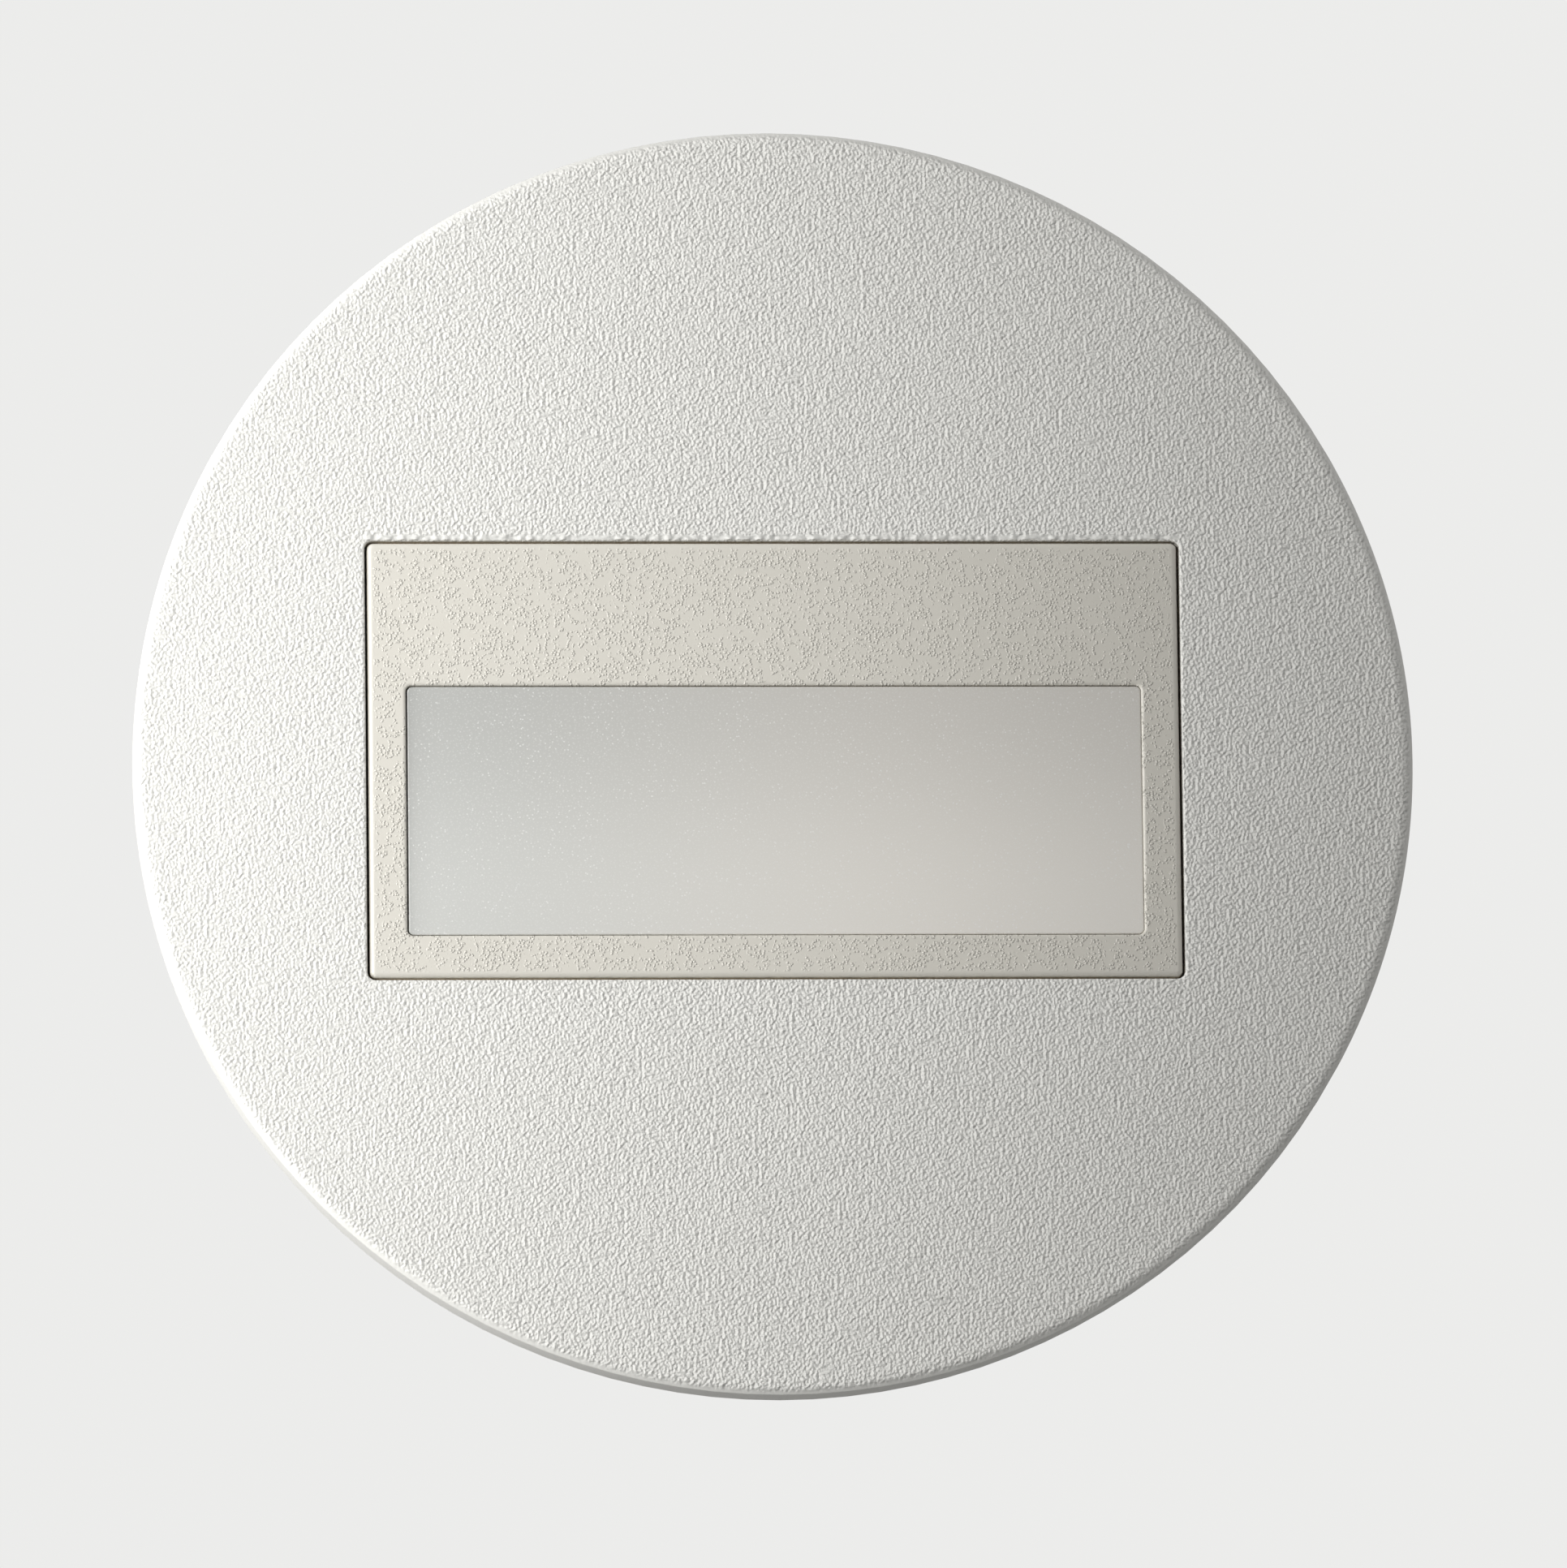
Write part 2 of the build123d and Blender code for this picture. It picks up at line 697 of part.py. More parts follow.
# Fuse resistor lying on the board, with its leads bent down to it
fuse_axis_depth = driver_board_back + fuse_radius
fuse_reach = fuse_length / 2 + fuse_lead_reach
with BuildPart() as fuse_resistor:
    with BuildSketch(Plane.XY.offset(fuse_place[1] - fuse_length / 2)):
        with Locations((fuse_place[0], fuse_axis_depth)):
            Circle(fuse_radius)
    extrude(amount=fuse_length)
    with BuildLine():
        lead_wire = Polyline(
            (fuse_place[0], driver_board_back, fuse_place[1] - fuse_reach),
            (fuse_place[0], fuse_axis_depth, fuse_place[1] - fuse_reach),
            (fuse_place[0], fuse_axis_depth, fuse_place[1] + fuse_reach),
            (fuse_place[0], driver_board_back, fuse_place[1] + fuse_reach),
        )
    with BuildSketch(Plane(origin=lead_wire @ 0, z_dir=lead_wire % 0)):
        Circle(fuse_lead_radius)
    sweep(transition=Transition.RIGHT)
save(fuse_resistor.part, "fuse_resistor")

with BuildPart() as driver_chip:
    with BuildSketch(at_depth(driver_board_back)):
        with Locations(chip_place):
            Rectangle(chip_length, chip_width)
    extrude(amount=-chip_height)
save(driver_chip.part, "driver_chip")

# Terminal block with wire entries facing the cable inlet
with BuildPart() as terminal_block:
    with BuildSketch(at_depth(driver_board_back)):
        with Locations(terminal_place):
            Rectangle(terminal_length, terminal_width)
    extrude(amount=-terminal_height)
    entry_depth = driver_board_back + terminal_height / 2
    with BuildSketch(Plane.YZ.offset(terminal_place[0] - terminal_length / 2)):
        with Locations((entry_depth, terminal_place[1])), GridLocations(0, terminal_pitch, 1, 2):
            Circle(terminal_entry_radius)
    extrude(amount=terminal_entry_reach, mode=Mode.SUBTRACT)
    with BuildSketch(at_depth(driver_board_back + terminal_height)):
        with Locations(terminal_place), GridLocations(0, terminal_pitch, 1, 2):
            Circle(terminal_screw_radius)
    extrude(amount=terminal_screw_head_height + terminal_screw_recess, mode=Mode.SUBTRACT)
save(terminal_block.part, "terminal_block")

with BuildPart() as terminal_screws:
    with BuildSketch(at_depth(driver_board_back + terminal_height - terminal_screw_recess)):
        with Locations(terminal_place), GridLocations(0, terminal_pitch, 1, 2):
            Circle(terminal_screw_radius)
            Rectangle(2 * terminal_screw_radius, drive_slot_width, mode=Mode.SUBTRACT)
    extrude(amount=terminal_screw_head_height)
    with BuildSketch(
        at_depth(driver_board_back + terminal_height - terminal_screw_recess - terminal_screw_head_height)
    ):
        with Locations(terminal_place), GridLocations(0, terminal_pitch, 1, 2):
            Circle(terminal_screw_radius)
    extrude(amount=-terminal_screw_head_height * drive_slot_share)
save(terminal_screws.part, "terminal_screws")

# Rear cap with a spigot inside the can and recesses for its screws
with BuildPart() as rear_cap:
    with BuildSketch(at_depth(cap_back)):
        can_section(0)
    extrude(amount=cap_thickness)
    chamfer(rear_cap.faces().sort_by(Axis.Y)[-1].edges(), cap_edge_chamfer)
    with BuildSketch(at_depth(can_depth)):
        can_section(can_wall + cap_spigot_gap)
    extrude(amount=cap_spigot_depth)
    with BuildSketch(at_depth(can_depth)):
        can_section(can_wall + cap_spigot_gap + cap_spigot_wall)
    extrude(amount=cap_spigot_depth, mode=Mode.SUBTRACT)
    with BuildSketch(at_depth(can_depth)):
        with GridLocations(cap_screw_spacing, 2 * cap_screw_row, 2, 2):
            Circle(cap_boss_radius + cap_spigot_gap)
    extrude(amount=cap_spigot_depth, mode=Mode.SUBTRACT)
    with BuildSketch(at_depth(can_depth)):
        with GridLocations(cap_screw_spacing, 2 * cap_screw_row, 2, 2):
            Circle(cap_screw_radius + screw_hole_clearance)
        with Locations(inlet_place):
            Circle(grommet_neck_radius + grommet_neck_gap)
    extrude(amount=-cap_thickness, mode=Mode.SUBTRACT)
    with BuildSketch(at_depth(cap_back)):
        with GridLocations(cap_screw_spacing, 2 * cap_screw_row, 2, 2):
            Circle(cap_screw_head_radius + screw_hole_clearance)
    extrude(amount=cap_screw_head_height, mode=Mode.SUBTRACT)
save(rear_cap.part, "rear_cap")

# Cable inlet grommet, turned from its half section
with BuildPart() as cable_grommet:
    inlet_axis = Axis((inlet_place[0], 0, inlet_place[1]), (0, 1, 0))
    with BuildSketch(Plane.XY.offset(inlet_place[1])) as grommet_section:
        with BuildLine():
            Polyline(
                (inlet_place[0] + inlet_bore_radius, can_depth - grommet_inner_flange),
                (inlet_place[0] + grommet_neck_radius, can_depth - grommet_inner_flange),
                (inlet_place[0] + grommet_flange_radius, can_depth),
                (inlet_place[0] + grommet_neck_radius, can_depth),
                (inlet_place[0] + grommet_neck_radius, cap_back),
                (inlet_place[0] + grommet_flange_radius, cap_back),
                (inlet_place[0] + grommet_flange_radius, cap_back + grommet_outer_flange),
                (inlet_place[0] + inlet_bore_radius, cap_back + grommet_outer_flange),
                close=True,
            )
        make_face()
        rear_corners = grommet_section.vertices().group_by(Axis.Y)[-1]
        chamfer(rear_corners.sort_by(Axis.X)[-1], grommet_edge_chamfer)
    revolve(axis=inlet_axis)
save(cable_grommet.part, "cable_grommet")

# Screws in the rear cap, their heads sunk into it
with BuildPart() as rear_cap_screws:
    with BuildSketch(at_depth(cap_back)):
        with GridLocations(cap_screw_spacing, 2 * cap_screw_row, 2, 2):
            Circle(cap_screw_head_radius)
    extrude(amount=cap_screw_head_height)
    with BuildSketch(at_depth(cap_back - cap_screw_head_height)):
        with GridLocations(cap_screw_spacing, 2 * cap_screw_row, 2, 2):
            Circle(cap_screw_radius)
    extrude(amount=cap_thickness - cap_screw_head_height + cap_screw_depth)
    with BuildSketch(at_depth(cap_back)):
        with GridLocations(cap_screw_spacing, 2 * cap_screw_row, 2, 2):
            Rectangle(2 * cap_screw_head_radius * drive_slot_share, drive_slot_width)
            Rectangle(drive_slot_width, 2 * cap_screw_head_radius * drive_slot_share)
    extrude(amount=cap_screw_head_height * drive_slot_share, mode=Mode.SUBTRACT)
save(rear_cap_screws.part, "rear_cap_screws")

# Screws through the frame into the housing's front bosses
with BuildPart() as frame_screws:
    with BuildSketch(at_height(frame_thickness)):
        with GridLocations(frame_screw_spacing, 2 * frame_screw_row, 2, 2):
            Circle(frame_screw_head_radius)
    extrude(amount=frame_screw_head_height)
    with BuildSketch(at_depth(frame_screw_depth)):
        with GridLocations(frame_screw_spacing, 2 * frame_screw_row, 2, 2):
            Circle(frame_screw_radius)
    extrude(amount=frame_screw_depth + frame_thickness)
    with BuildSketch(at_height(frame_thickness + frame_screw_head_height)):
        with GridLocations(frame_screw_spacing, 2 * frame_screw_row, 2, 2):
            Rectangle(2 * frame_screw_head_radius * drive_slot_share, drive_slot_width)
            Rectangle(drive_slot_width, 2 * frame_screw_head_radius * drive_slot_share)
    extrude(amount=-frame_screw_head_height * drive_slot_share, mode=Mode.SUBTRACT)
save(frame_screws.part, "frame_screws")

# Spreader claws, their hinge pins and their screws, above and below the housing
claw_hole_inner = claw_screw_radius + claw_swing_room
claw_hole_outer = claw_screw_radius + claw_swing_room / 2
cheek_start = claw_tip_depth + claw_cheek_tip_gap
cheek_end = claw_pivot_depth - claw_cheek_pivot_gap
for name, side in (("top", 1), ("bottom", -1)):
    pivot = (claw_pivot_depth, side * claw_pivot_row)
    arm_outer_row = side * claw_pivot_row
    arm_inner_row = side * (claw_pivot_row - claw_sheet)
    with BuildPart() as claw:
        with BuildSketch(Plane.YZ.offset(-claw_width / 2)):
            with BuildLine():
                Polyline(
                    (claw_tip_depth, arm_inner_row),
                    (claw_pivot_depth, arm_inner_row),
                    (claw_pivot_depth, arm_outer_row),
                    (claw_tip_depth, arm_outer_row),
                    close=True,
                )
            make_face()
            for tooth in range(claw_tooth_count):
                tooth_start = claw_tip_depth + tooth * claw_tooth_pitch
                with BuildLine():
                    Polyline(
                        (tooth_start, arm_inner_row),
                        (tooth_start, arm_outer_row + side * claw_tooth_height),
                        (tooth_start + claw_tooth_pitch, arm_outer_row),
                        (tooth_start + claw_tooth_pitch, arm_inner_row),
                        close=True,
                    )
                make_face()
            with Locations((claw_pivot_depth, side * (claw_pivot_row + claw_lug_end_row) / 2)):
                Rectangle(claw_lug_thickness, claw_pivot_row - claw_lug_end_row)
            with Locations(pivot):
                Circle(claw_knuckle_radius)
                Circle(pin_radius + pin_running_gap, mode=Mode.SUBTRACT)
        extrude(amount=claw_width)
        with BuildSketch(Plane.YZ.offset(-claw_width / 2)) as cheek:
            with BuildLine():
                Polyline(
                    (cheek_start, arm_inner_row),
                    (cheek_start + claw_cheek_height, arm_inner_row - side * claw_cheek_height),
                    (cheek_end - claw_cheek_height, arm_inner_row - side * claw_cheek_height),
                    (cheek_end, arm_inner_row),
                    close=True,
                )
            make_face()
        extrude(amount=claw_cheek_thickness)
        with BuildSketch(Plane.YZ.offset(claw_width / 2)):
            add(cheek.sketch_local)
        extrude(amount=-claw_cheek_thickness)
        with BuildSketch(at_depth(claw_pivot_depth + claw_lug_thickness)):
            with Locations((0, side * (claw_screw_row + (claw_hole_outer - claw_hole_inner) / 2))):
                SlotOverall(
                    claw_hole_inner + claw_hole_outer,
                    2 * claw_screw_radius + 2 * claw_screw_gap,
                    rotation=90,
                )
        extrude(amount=2 * claw_lug_thickness, mode=Mode.SUBTRACT)
    save(claw.part, f"claw_{name}")

    with BuildPart() as claw_pin:
        with BuildSketch(Plane.YZ.offset(-ear_outer)):
            with Locations(pivot):
                Circle(pin_radius)
        extrude(amount=2 * ear_outer + pin_head_thickness)
        with BuildSketch(Plane.YZ.offset(-ear_outer)):
            with Locations(pivot):
                Circle(pin_head_radius)
        extrude(amount=-pin_head_thickness)
    save(claw_pin.part, f"claw_pin_{name}")

    with BuildPart() as claw_screw:
        with BuildSketch(at_height(frame_thickness)):
            with Locations((0, side * claw_screw_row)):
                Circle(claw_screw_head_radius)
        extrude(amount=claw_screw_head_height)
        with BuildSketch(at_depth(claw_screw_end_depth)):
            with Locations((0, side * claw_screw_row)):
                Circle(claw_screw_radius)
        extrude(amount=claw_screw_end_depth + frame_thickness)
        chamfer(claw_screw.edges().group_by(Axis.Y)[-1], claw_screw_tip_chamfer)
        with BuildSketch(at_height(frame_thickness + claw_screw_head_height)):
            with Locations((0, side * claw_screw_row)):
                Rectangle(2 * claw_screw_head_radius * drive_slot_share, drive_slot_width)
                Rectangle(drive_slot_width, 2 * claw_screw_head_radius * drive_slot_share)
        extrude(amount=-claw_screw_head_height * drive_slot_share, mode=Mode.SUBTRACT)
    save(claw_screw.part, f"claw_screw_{name}")
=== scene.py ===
import json
from math import atan, atan2, cos, pi, radians, sin, tan

import bmesh
import bpy
from bpy.props import FloatProperty, FloatVectorProperty, IntProperty, PointerProperty
from bpy.types import Operator, Panel, PropertyGroup
from mathutils import Matrix, Vector

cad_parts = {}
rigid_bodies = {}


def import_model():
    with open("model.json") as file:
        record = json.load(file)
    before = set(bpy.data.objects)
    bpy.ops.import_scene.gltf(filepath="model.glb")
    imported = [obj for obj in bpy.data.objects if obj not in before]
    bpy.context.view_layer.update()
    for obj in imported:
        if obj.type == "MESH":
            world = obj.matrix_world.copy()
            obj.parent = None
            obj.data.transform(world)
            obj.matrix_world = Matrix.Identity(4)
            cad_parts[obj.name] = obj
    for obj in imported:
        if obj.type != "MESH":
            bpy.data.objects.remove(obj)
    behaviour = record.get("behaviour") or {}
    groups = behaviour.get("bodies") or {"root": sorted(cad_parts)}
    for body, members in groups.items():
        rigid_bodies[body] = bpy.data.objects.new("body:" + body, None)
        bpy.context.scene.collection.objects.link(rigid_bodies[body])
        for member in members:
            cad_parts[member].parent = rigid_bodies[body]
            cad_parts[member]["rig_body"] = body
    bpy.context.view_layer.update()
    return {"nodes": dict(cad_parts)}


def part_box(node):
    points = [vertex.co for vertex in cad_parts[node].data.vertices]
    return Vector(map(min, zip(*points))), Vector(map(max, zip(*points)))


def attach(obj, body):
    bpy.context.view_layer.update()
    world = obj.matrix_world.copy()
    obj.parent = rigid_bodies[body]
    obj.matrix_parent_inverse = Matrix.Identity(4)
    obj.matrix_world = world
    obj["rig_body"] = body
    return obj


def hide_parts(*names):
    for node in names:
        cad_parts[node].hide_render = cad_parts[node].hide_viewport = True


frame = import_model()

bl_info = {
    "name": "Round step light",
    "version": (1, 0, 0),
    "blender": (4, 5, 0),
    "location": "View3D > Sidebar > Step light",
    "description": "Builds the visible pieces of a round recessed step light",
    "category": "Add Mesh",
}

COVER_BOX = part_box("cover_plate")
FLANGE_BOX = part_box("light_panel")
LENS_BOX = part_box("lens")
GROMMET_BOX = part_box("cable_grommet")
MM = 0.001
FLAT_EDGE = 0.06 * MM
SINK = 0.05 * MM

# Softening of the edges of thin and hidden pieces
SPRING_EDGE = 0.05 * MM
INSIDE_EDGE = 0.06 * MM
GASKET_EDGE = 0.1 * MM
PIN_EDGE = 0.12 * MM
FOAM_EDGE = 0.2 * MM

# Limits for merging points, dissolving flat faces, softening edges and smooth shading
SAME_POINT = 1e-7
FLAT_ANGLE = radians(0.5)
SHARP_ANGLE = radians(35)
SMOOTH_LIMIT = radians(30)
EASED_LIMIT = radians(40)

# Profiles as shares of a size: a screw head from its middle (radius, thickness), and a thread's
# turn from its root over its crest (pitch), where the next turn's root follows
HEAD_PROFILE = (
    (0.45, 0.0), (0.72, 0.05), (0.9, 0.2), (0.985, 0.42), (1.0, 0.62), (1.0, 0.94), (0.97, 1.0)
)
THREAD_CREST = (0.42, 0.58)

# Riveted stud in millimetres: radius, height over the face that it stands on
STUD_PROFILE = ((0.8, 0.3), (1.3, 0.3), (1.15, 0.52), (0.7, 0.6))

# Panels of light: name, width and height in metres, watts, azimuth and elevation in degrees
LIGHT_PANELS = (
    ("fill_left_high", 0.5, 0.5, 0.4, -65, 45),
    ("fill_left_low", 0.5, 0.5, 0.1, -65, -45),
    ("fill_right_high", 0.5, 0.5, 1.25, 65, 45),
    ("fill_right_low", 0.5, 0.5, 0.25, 65, -45),
    ("edge", 0.2, 0.5, 4.6, -78, 0),
)

# Steps of the visible roundings
EDGE_STEPS = 12
BLOCK_STEPS = 7
APERTURE_STEPS = 5
WINDOW_STEPS = 4


# Sizes and colours


def size(name, description, default):
    """A length in metres."""
    return FloatProperty(
        name=name, description=description, default=default, min=0.0, unit="LENGTH", precision=5
    )


def tint(name, description, default):
    """A linear colour."""
    return FloatVectorProperty(
        name=name, description=description, default=default, min=0.0, max=1.0, subtype="COLOR"
    )


def share(name, description, default):
    """A number from 0 to 1."""
    return FloatProperty(name=name, description=description, default=default, min=0.0, max=1.0)


def angle(name, description, degrees):
    """An angle, from its degrees."""
    return FloatProperty(name=name, description=description, default=radians(degrees), unit="ROTATION")


class StepLightCover(PropertyGroup):
    """The round cover."""

    edge_depth: size("Edge depth", "How far back the outer edge's rounding starts", 0.0003)
    edge_reach: size("Edge reach", "How far in over the front that rounding runs", 0.0009)
    wall: size("Wall", "Thickness of the front and the rim", 0.0011)
    inner_chamfer: size("Inner chamfer", "Chamfer between front and rim inside", 0.0004)
    aperture_width: size("Aperture width", "Opening for the light panel, across", 0.05103)
    aperture_height: size("Aperture height", "Opening for the light panel, upwards", 0.02779)
    aperture_corner: size("Aperture corner", "Corner radius of the opening", 0.0005)
    aperture_edge: size("Aperture edge", "Rounding of the opening's front edge", 0.00016)
    collar_wall: size("Collar wall", "Wall of the collar round the opening", 0.0007)
    collar_depth: size("Collar depth", "Reach of the collar behind the front", 0.0008)
    rim_chamfer: size("Rim chamfer", "Chamfer round the rim's back edge", 0.0001)
    spring_width: size("Spring width", "Width of the springs' riveted feet", 0.005)
    foot_length: size("Foot length", "Length of the springs' riveted feet", 0.005)
    rib_count: IntProperty(name="Ribs", description="Ribs behind the front", default=16, min=4)
    rib_width: size("Rib width", "Width of each rib", 0.001)
    rib_depth: size("Rib depth", "Reach of each rib behind the front", 0.0005)
    rib_reach: size("Rib reach", "Radius at which the ribs end", 0.0346)
    coat: tint("Powder coat", "Colour of the powder coat", (0.86, 0.852, 0.81))
    wrinkle_pitch: size("Wrinkle pitch", "Distance between the coat's wrinkles", 0.0002)
    wrinkle_height: size("Wrinkle height", "Height of the coat's wrinkles", 0.00025)


class StepLightPanel(PropertyGroup):
    """The rectangular light panel and its lens."""

    width: size("Width", "Width of the block in front of the wall", 0.0507)
    height: size("Height", "Height of the block", 0.0275)
    corner: size("Corner", "Corner radius of the block", 0.0004)
    edge_radius: size("Edge radius", "Rounding of the block's front edge", 0.0003)
    front_wall: size("Front wall", "Thickness round the window", 0.0014)
    side_wall: size("Side wall", "Thickness of the block's sides", 0.001)
    flange_corner: size("Flange corner", "Corner radius of the flange", 0.006)
    flange_chamfer: size("Flange chamfer", "Chamfer round the flange", 0.0001)
    window_width: size("Window width", "Opening for the lens, across", 0.046)
    window_height: size("Window height", "Opening for the lens, upwards", 0.0158)
    window_drop: size("Window drop", "How far the window sits below the middle", 0.0032)
    window_corner: size("Window corner", "Corner radius of the window", 0.00038)
    window_edge: size("Window edge", "Rounding of the window's front edge", 0.00018)
    lens_gap: size("Lens gap", "Mean gap between the lens and the window", 0.00005)
    lens_right: size("Lens right", "How far the lens sits to the right in its window", 0.00004)
    lens_down: size("Lens down", "How far the lens sits down in its window", 0.00001)
    lens_edge: size("Lens edge", "Rounding of the lens's front edge", 0.00008)
    lens_lip: size("Lens lip", "Thickness of the lip behind the window", 0.0012)
    lip_corner: size("Lip corner", "Corner radius of that lip", 0.0003)
    plastic: tint("Plastic", "Colour of the panel's plastic", (0.775, 0.747, 0.672))
    lens: tint("Lens", "Colour of the frosted lens", (0.67, 0.675, 0.645))
    speck_pitch: size("Speck pitch", "Distance between the plastic's raised specks", 0.00025)
    speck_height: size("Speck height", "Height of the raised specks", 0.00005)


class StepLightFixings(PropertyGroup):
    """Screws, claws, springs and the mounting frame."""

    edge: size("Edge", "Softening of the metal edges", 0.00008)
    claw_thread_pitch: size("Thread pitch", "Pitch of the claw screws", 0.0005)
    claw_thread_depth: size("Thread depth", "Depth of the claw screws' thread", 0.00028)
    recess_width: size("Recess width", "Width of the cross recess in a screw head", 0.0006)
    zinc: tint("Zinc", "Colour of the plated sheet", (0.6, 0.61, 0.6))
    steel: tint("Steel", "Colour of the springs", (0.52, 0.51, 0.49))
    screw: tint("Screw", "Colour of the screws", (0.64, 0.64, 0.62))


class StepLightHousing(PropertyGroup):
    """The housing behind the wall, its cap and the cable inlet."""

    edge: size("Edge", "Softening of the plastic edges", 0.0002)
    bore: size("Inlet bore", "Radius of the cable inlet", 0.00325)
    rib_count: IntProperty(
        name="Inlet ribs", description="Ribs round the inlet's flange", default=3, min=1
    )
    plastic: tint("Plastic", "Colour of the housing", (0.05, 0.05, 0.054))
    rubber: tint("Rubber", "Colour of the grommet", (0.022, 0.022, 0.022))
    foam: tint("Foam", "Colour of the foam ring", (0.035, 0.035, 0.036))
    silicone: tint("Silicone", "Colour of the flat gasket", (0.5, 0.5, 0.48))


class StepLightStage(PropertyGroup):
    """Floor, light and camera."""

    floor_drop: size("Floor drop", "How far the floor lies below the origin", 0.75)
    floor: tint("Floor", "Colour of the floor", (0.8, 0.8, 0.79))
    backdrop: tint("Backdrop", "Colour seen behind the object", (0.84, 0.84, 0.83))
    ambient: share("Ambient", "Level of the light from all round", 0.14)
    floor_reach: size("Floor reach", "Half the width of the floor", 6.0)
    floor_glow: share("Floor glow", "How much brighter the camera sees the floor", 0.72)
    key_power: FloatProperty(
        name="Key power", description="Soft-edged spot from the left", default=75.0, unit="POWER"
    )
    key_spread: angle("Key spread", "Width of the key's cone", 23.2)
    key_distance: size("Key distance", "From the origin", 1.15)
    panel_distance: size("Light panels", "Distance of the light panels from the origin", 0.8)
    key_azimuth: angle("Key azimuth", "To the right of straight on", -36.0)
    key_elevation: angle("Key elevation", "Above level", 6.0)
    camera_distance: size("Camera distance", "From the middle of the cover's face", 1.065)
    camera_azimuth: angle("Camera azimuth", "To the right of straight on", -3.56)
    camera_elevation: angle("Camera elevation", "Above level", -10.08)
    camera_roll: angle("Camera roll", "Turn about the line of sight", -0.69)
    aim_right: size("Aim right", "Line of sight, right of the middle of the face", 0.000553)
    aim_down: size("Aim down", "Line of sight, below the middle of the face", 0.001544)
    lens_length: FloatProperty(
        name="Lens", description="Focal length in millimetres", default=391.9, unit="CAMERA"
    )


# Finishes


class Level:
    """A number that changes over a surface. Its operators add Math nodes."""

    def __init__(self, finish, socket):
        self.finish = finish
        self.socket = socket

    def math(self, operation, *values):
        return self.finish.add("ShaderNodeMath", {"operation": operation}, dict(enumerate(values)))

    def __add__(self, other):
        return self.math("ADD", self, other)

    def __radd__(self, other):
        return self.math("ADD", other, self)

    def __sub__(self, other):
        return self.math("SUBTRACT", self, other)

    def __rsub__(self, other):
        return self.math("SUBTRACT", other, self)

    def __mul__(self, other):
        return self.math("MULTIPLY", self, other)

    def __rmul__(self, other):
        return self.math("MULTIPLY", other, self)

    def __pow__(self, other):
        return self.math("POWER", self, other)

    def __rpow__(self, other):
        return self.math("POWER", other, self)

    def __abs__(self):
        return self.math("ABSOLUTE", self)

    def least(self, other):
        return self.math("MINIMUM", self, other)

    def most(self, other):
        return self.math("MAXIMUM", self, other)


class Finish:
    """The nodes of one material or of the world."""

    def __init__(self, owner):
        owner.use_nodes = True
        self.owner = owner
        self.tree = owner.node_tree
        if isinstance(owner, bpy.types.Material):
            self.places = self.add("ShaderNodeTexCoord", output="Object")

    def add(self, kind, settings=None, values=None, output=0):
        """Adds a node: its settings first, then what each socket holds or is linked to."""
        node = self.tree.nodes.new(kind)
        for name, value in (settings or {}).items():
            setattr(node, name, value)
        for name, value in (values or {}).items():
            self.feed(node.inputs[name], value)
        return Level(self, node.outputs[output])

    def feed(self, socket, value):
        """Sets a socket, or links it."""
        if isinstance(value, Level):
            self.tree.links.new(value.socket, socket)
        elif hasattr(value, "__len__") and socket.type == "RGBA":
            socket.default_value = (*value[:3], 1.0)
        else:
            socket.default_value = value

    def shade(self, **values):
        """Feeds the surface shader's sockets, named with underscores for spaces."""
        shader = self.tree.nodes["Principled BSDF"]
        for name, value in values.items():
            self.feed(shader.inputs[name.replace("_", " ")], value)

    def grain(self, pitch, detail=2.0, distortion=0.0, stretch=None):
        """A cloud pattern from 0 to 1 whose lumps are about a pitch apart."""
        places = self.places
        if stretch:
            places = self.add(
                "ShaderNodeVectorMath", {"operation": "MULTIPLY"}, {0: places, 1: Vector(stretch)}
            )
        values = {"Vector": places, "Scale": 1.0 / pitch}
        values.update({"Detail": detail, "Distortion": distortion})
        return self.add("ShaderNodeTexNoise", values=values)

    def cells(self, pitch, randomness=1.0, output="Distance"):
        """Distance to the nearest of scattered points, in pitches."""
        values = {"Vector": self.places, "Scale": 1.0 / pitch, "Randomness": randomness}
        return self.add("ShaderNodeTexVoronoi", values=values, output=output)

    def dots(self, pitch, radius, seed=0.0, flat_top=0.25):
        """1 in round dots scattered over the front, and 0 between them."""
        across = self.along("X") + seed * pitch
        front = self.add("ShaderNodeCombineXYZ", values={0: across, 1: self.along("Z")})
        flat, values = {"voronoi_dimensions": "2D"}, {"Vector": front, "Scale": 1.0 / pitch}
        near = self.add("ShaderNodeTexVoronoi", flat, values)
        return self.between(near, radius / pitch, flat_top * radius / pitch)

    def along(self, axis):
        """The surface's own X, Y or Z in metres."""
        return self.add("ShaderNodeSeparateXYZ", values={0: self.places}, output=axis)

    def between(self, value, low, high):
        """0 below low, 1 above high and smooth between them, or the reverse if low is above high."""
        ends = dict(zip(("From Min", "From Max"), sorted((low, high))))
        ends["To Min"], ends["To Max"] = (0.0, 1.0) if low < high else (1.0, 0.0)
        return self.add(
            "ShaderNodeMapRange", {"interpolation_type": "SMOOTHSTEP"}, {"Value": value, **ends}
        )

    def blend(self, factor, first, second, mode="MIX"):
        """A colour between two."""
        settings = {"data_type": "RGBA", "blend_type": mode}
        return self.add("ShaderNodeMix", settings, {0: factor, 6: first, 7: second}, output=2)

    def bump(self, height, distance, under=None):
        """A normal that leans as a height, which is 1 at the given distance, would."""
        values = {"Height": height, "Distance": distance}
        if under is not None:
            values["Normal"] = under
        return self.add("ShaderNodeBump", values=values)


def finish(name):
    return Finish(bpy.data.materials.new(name))


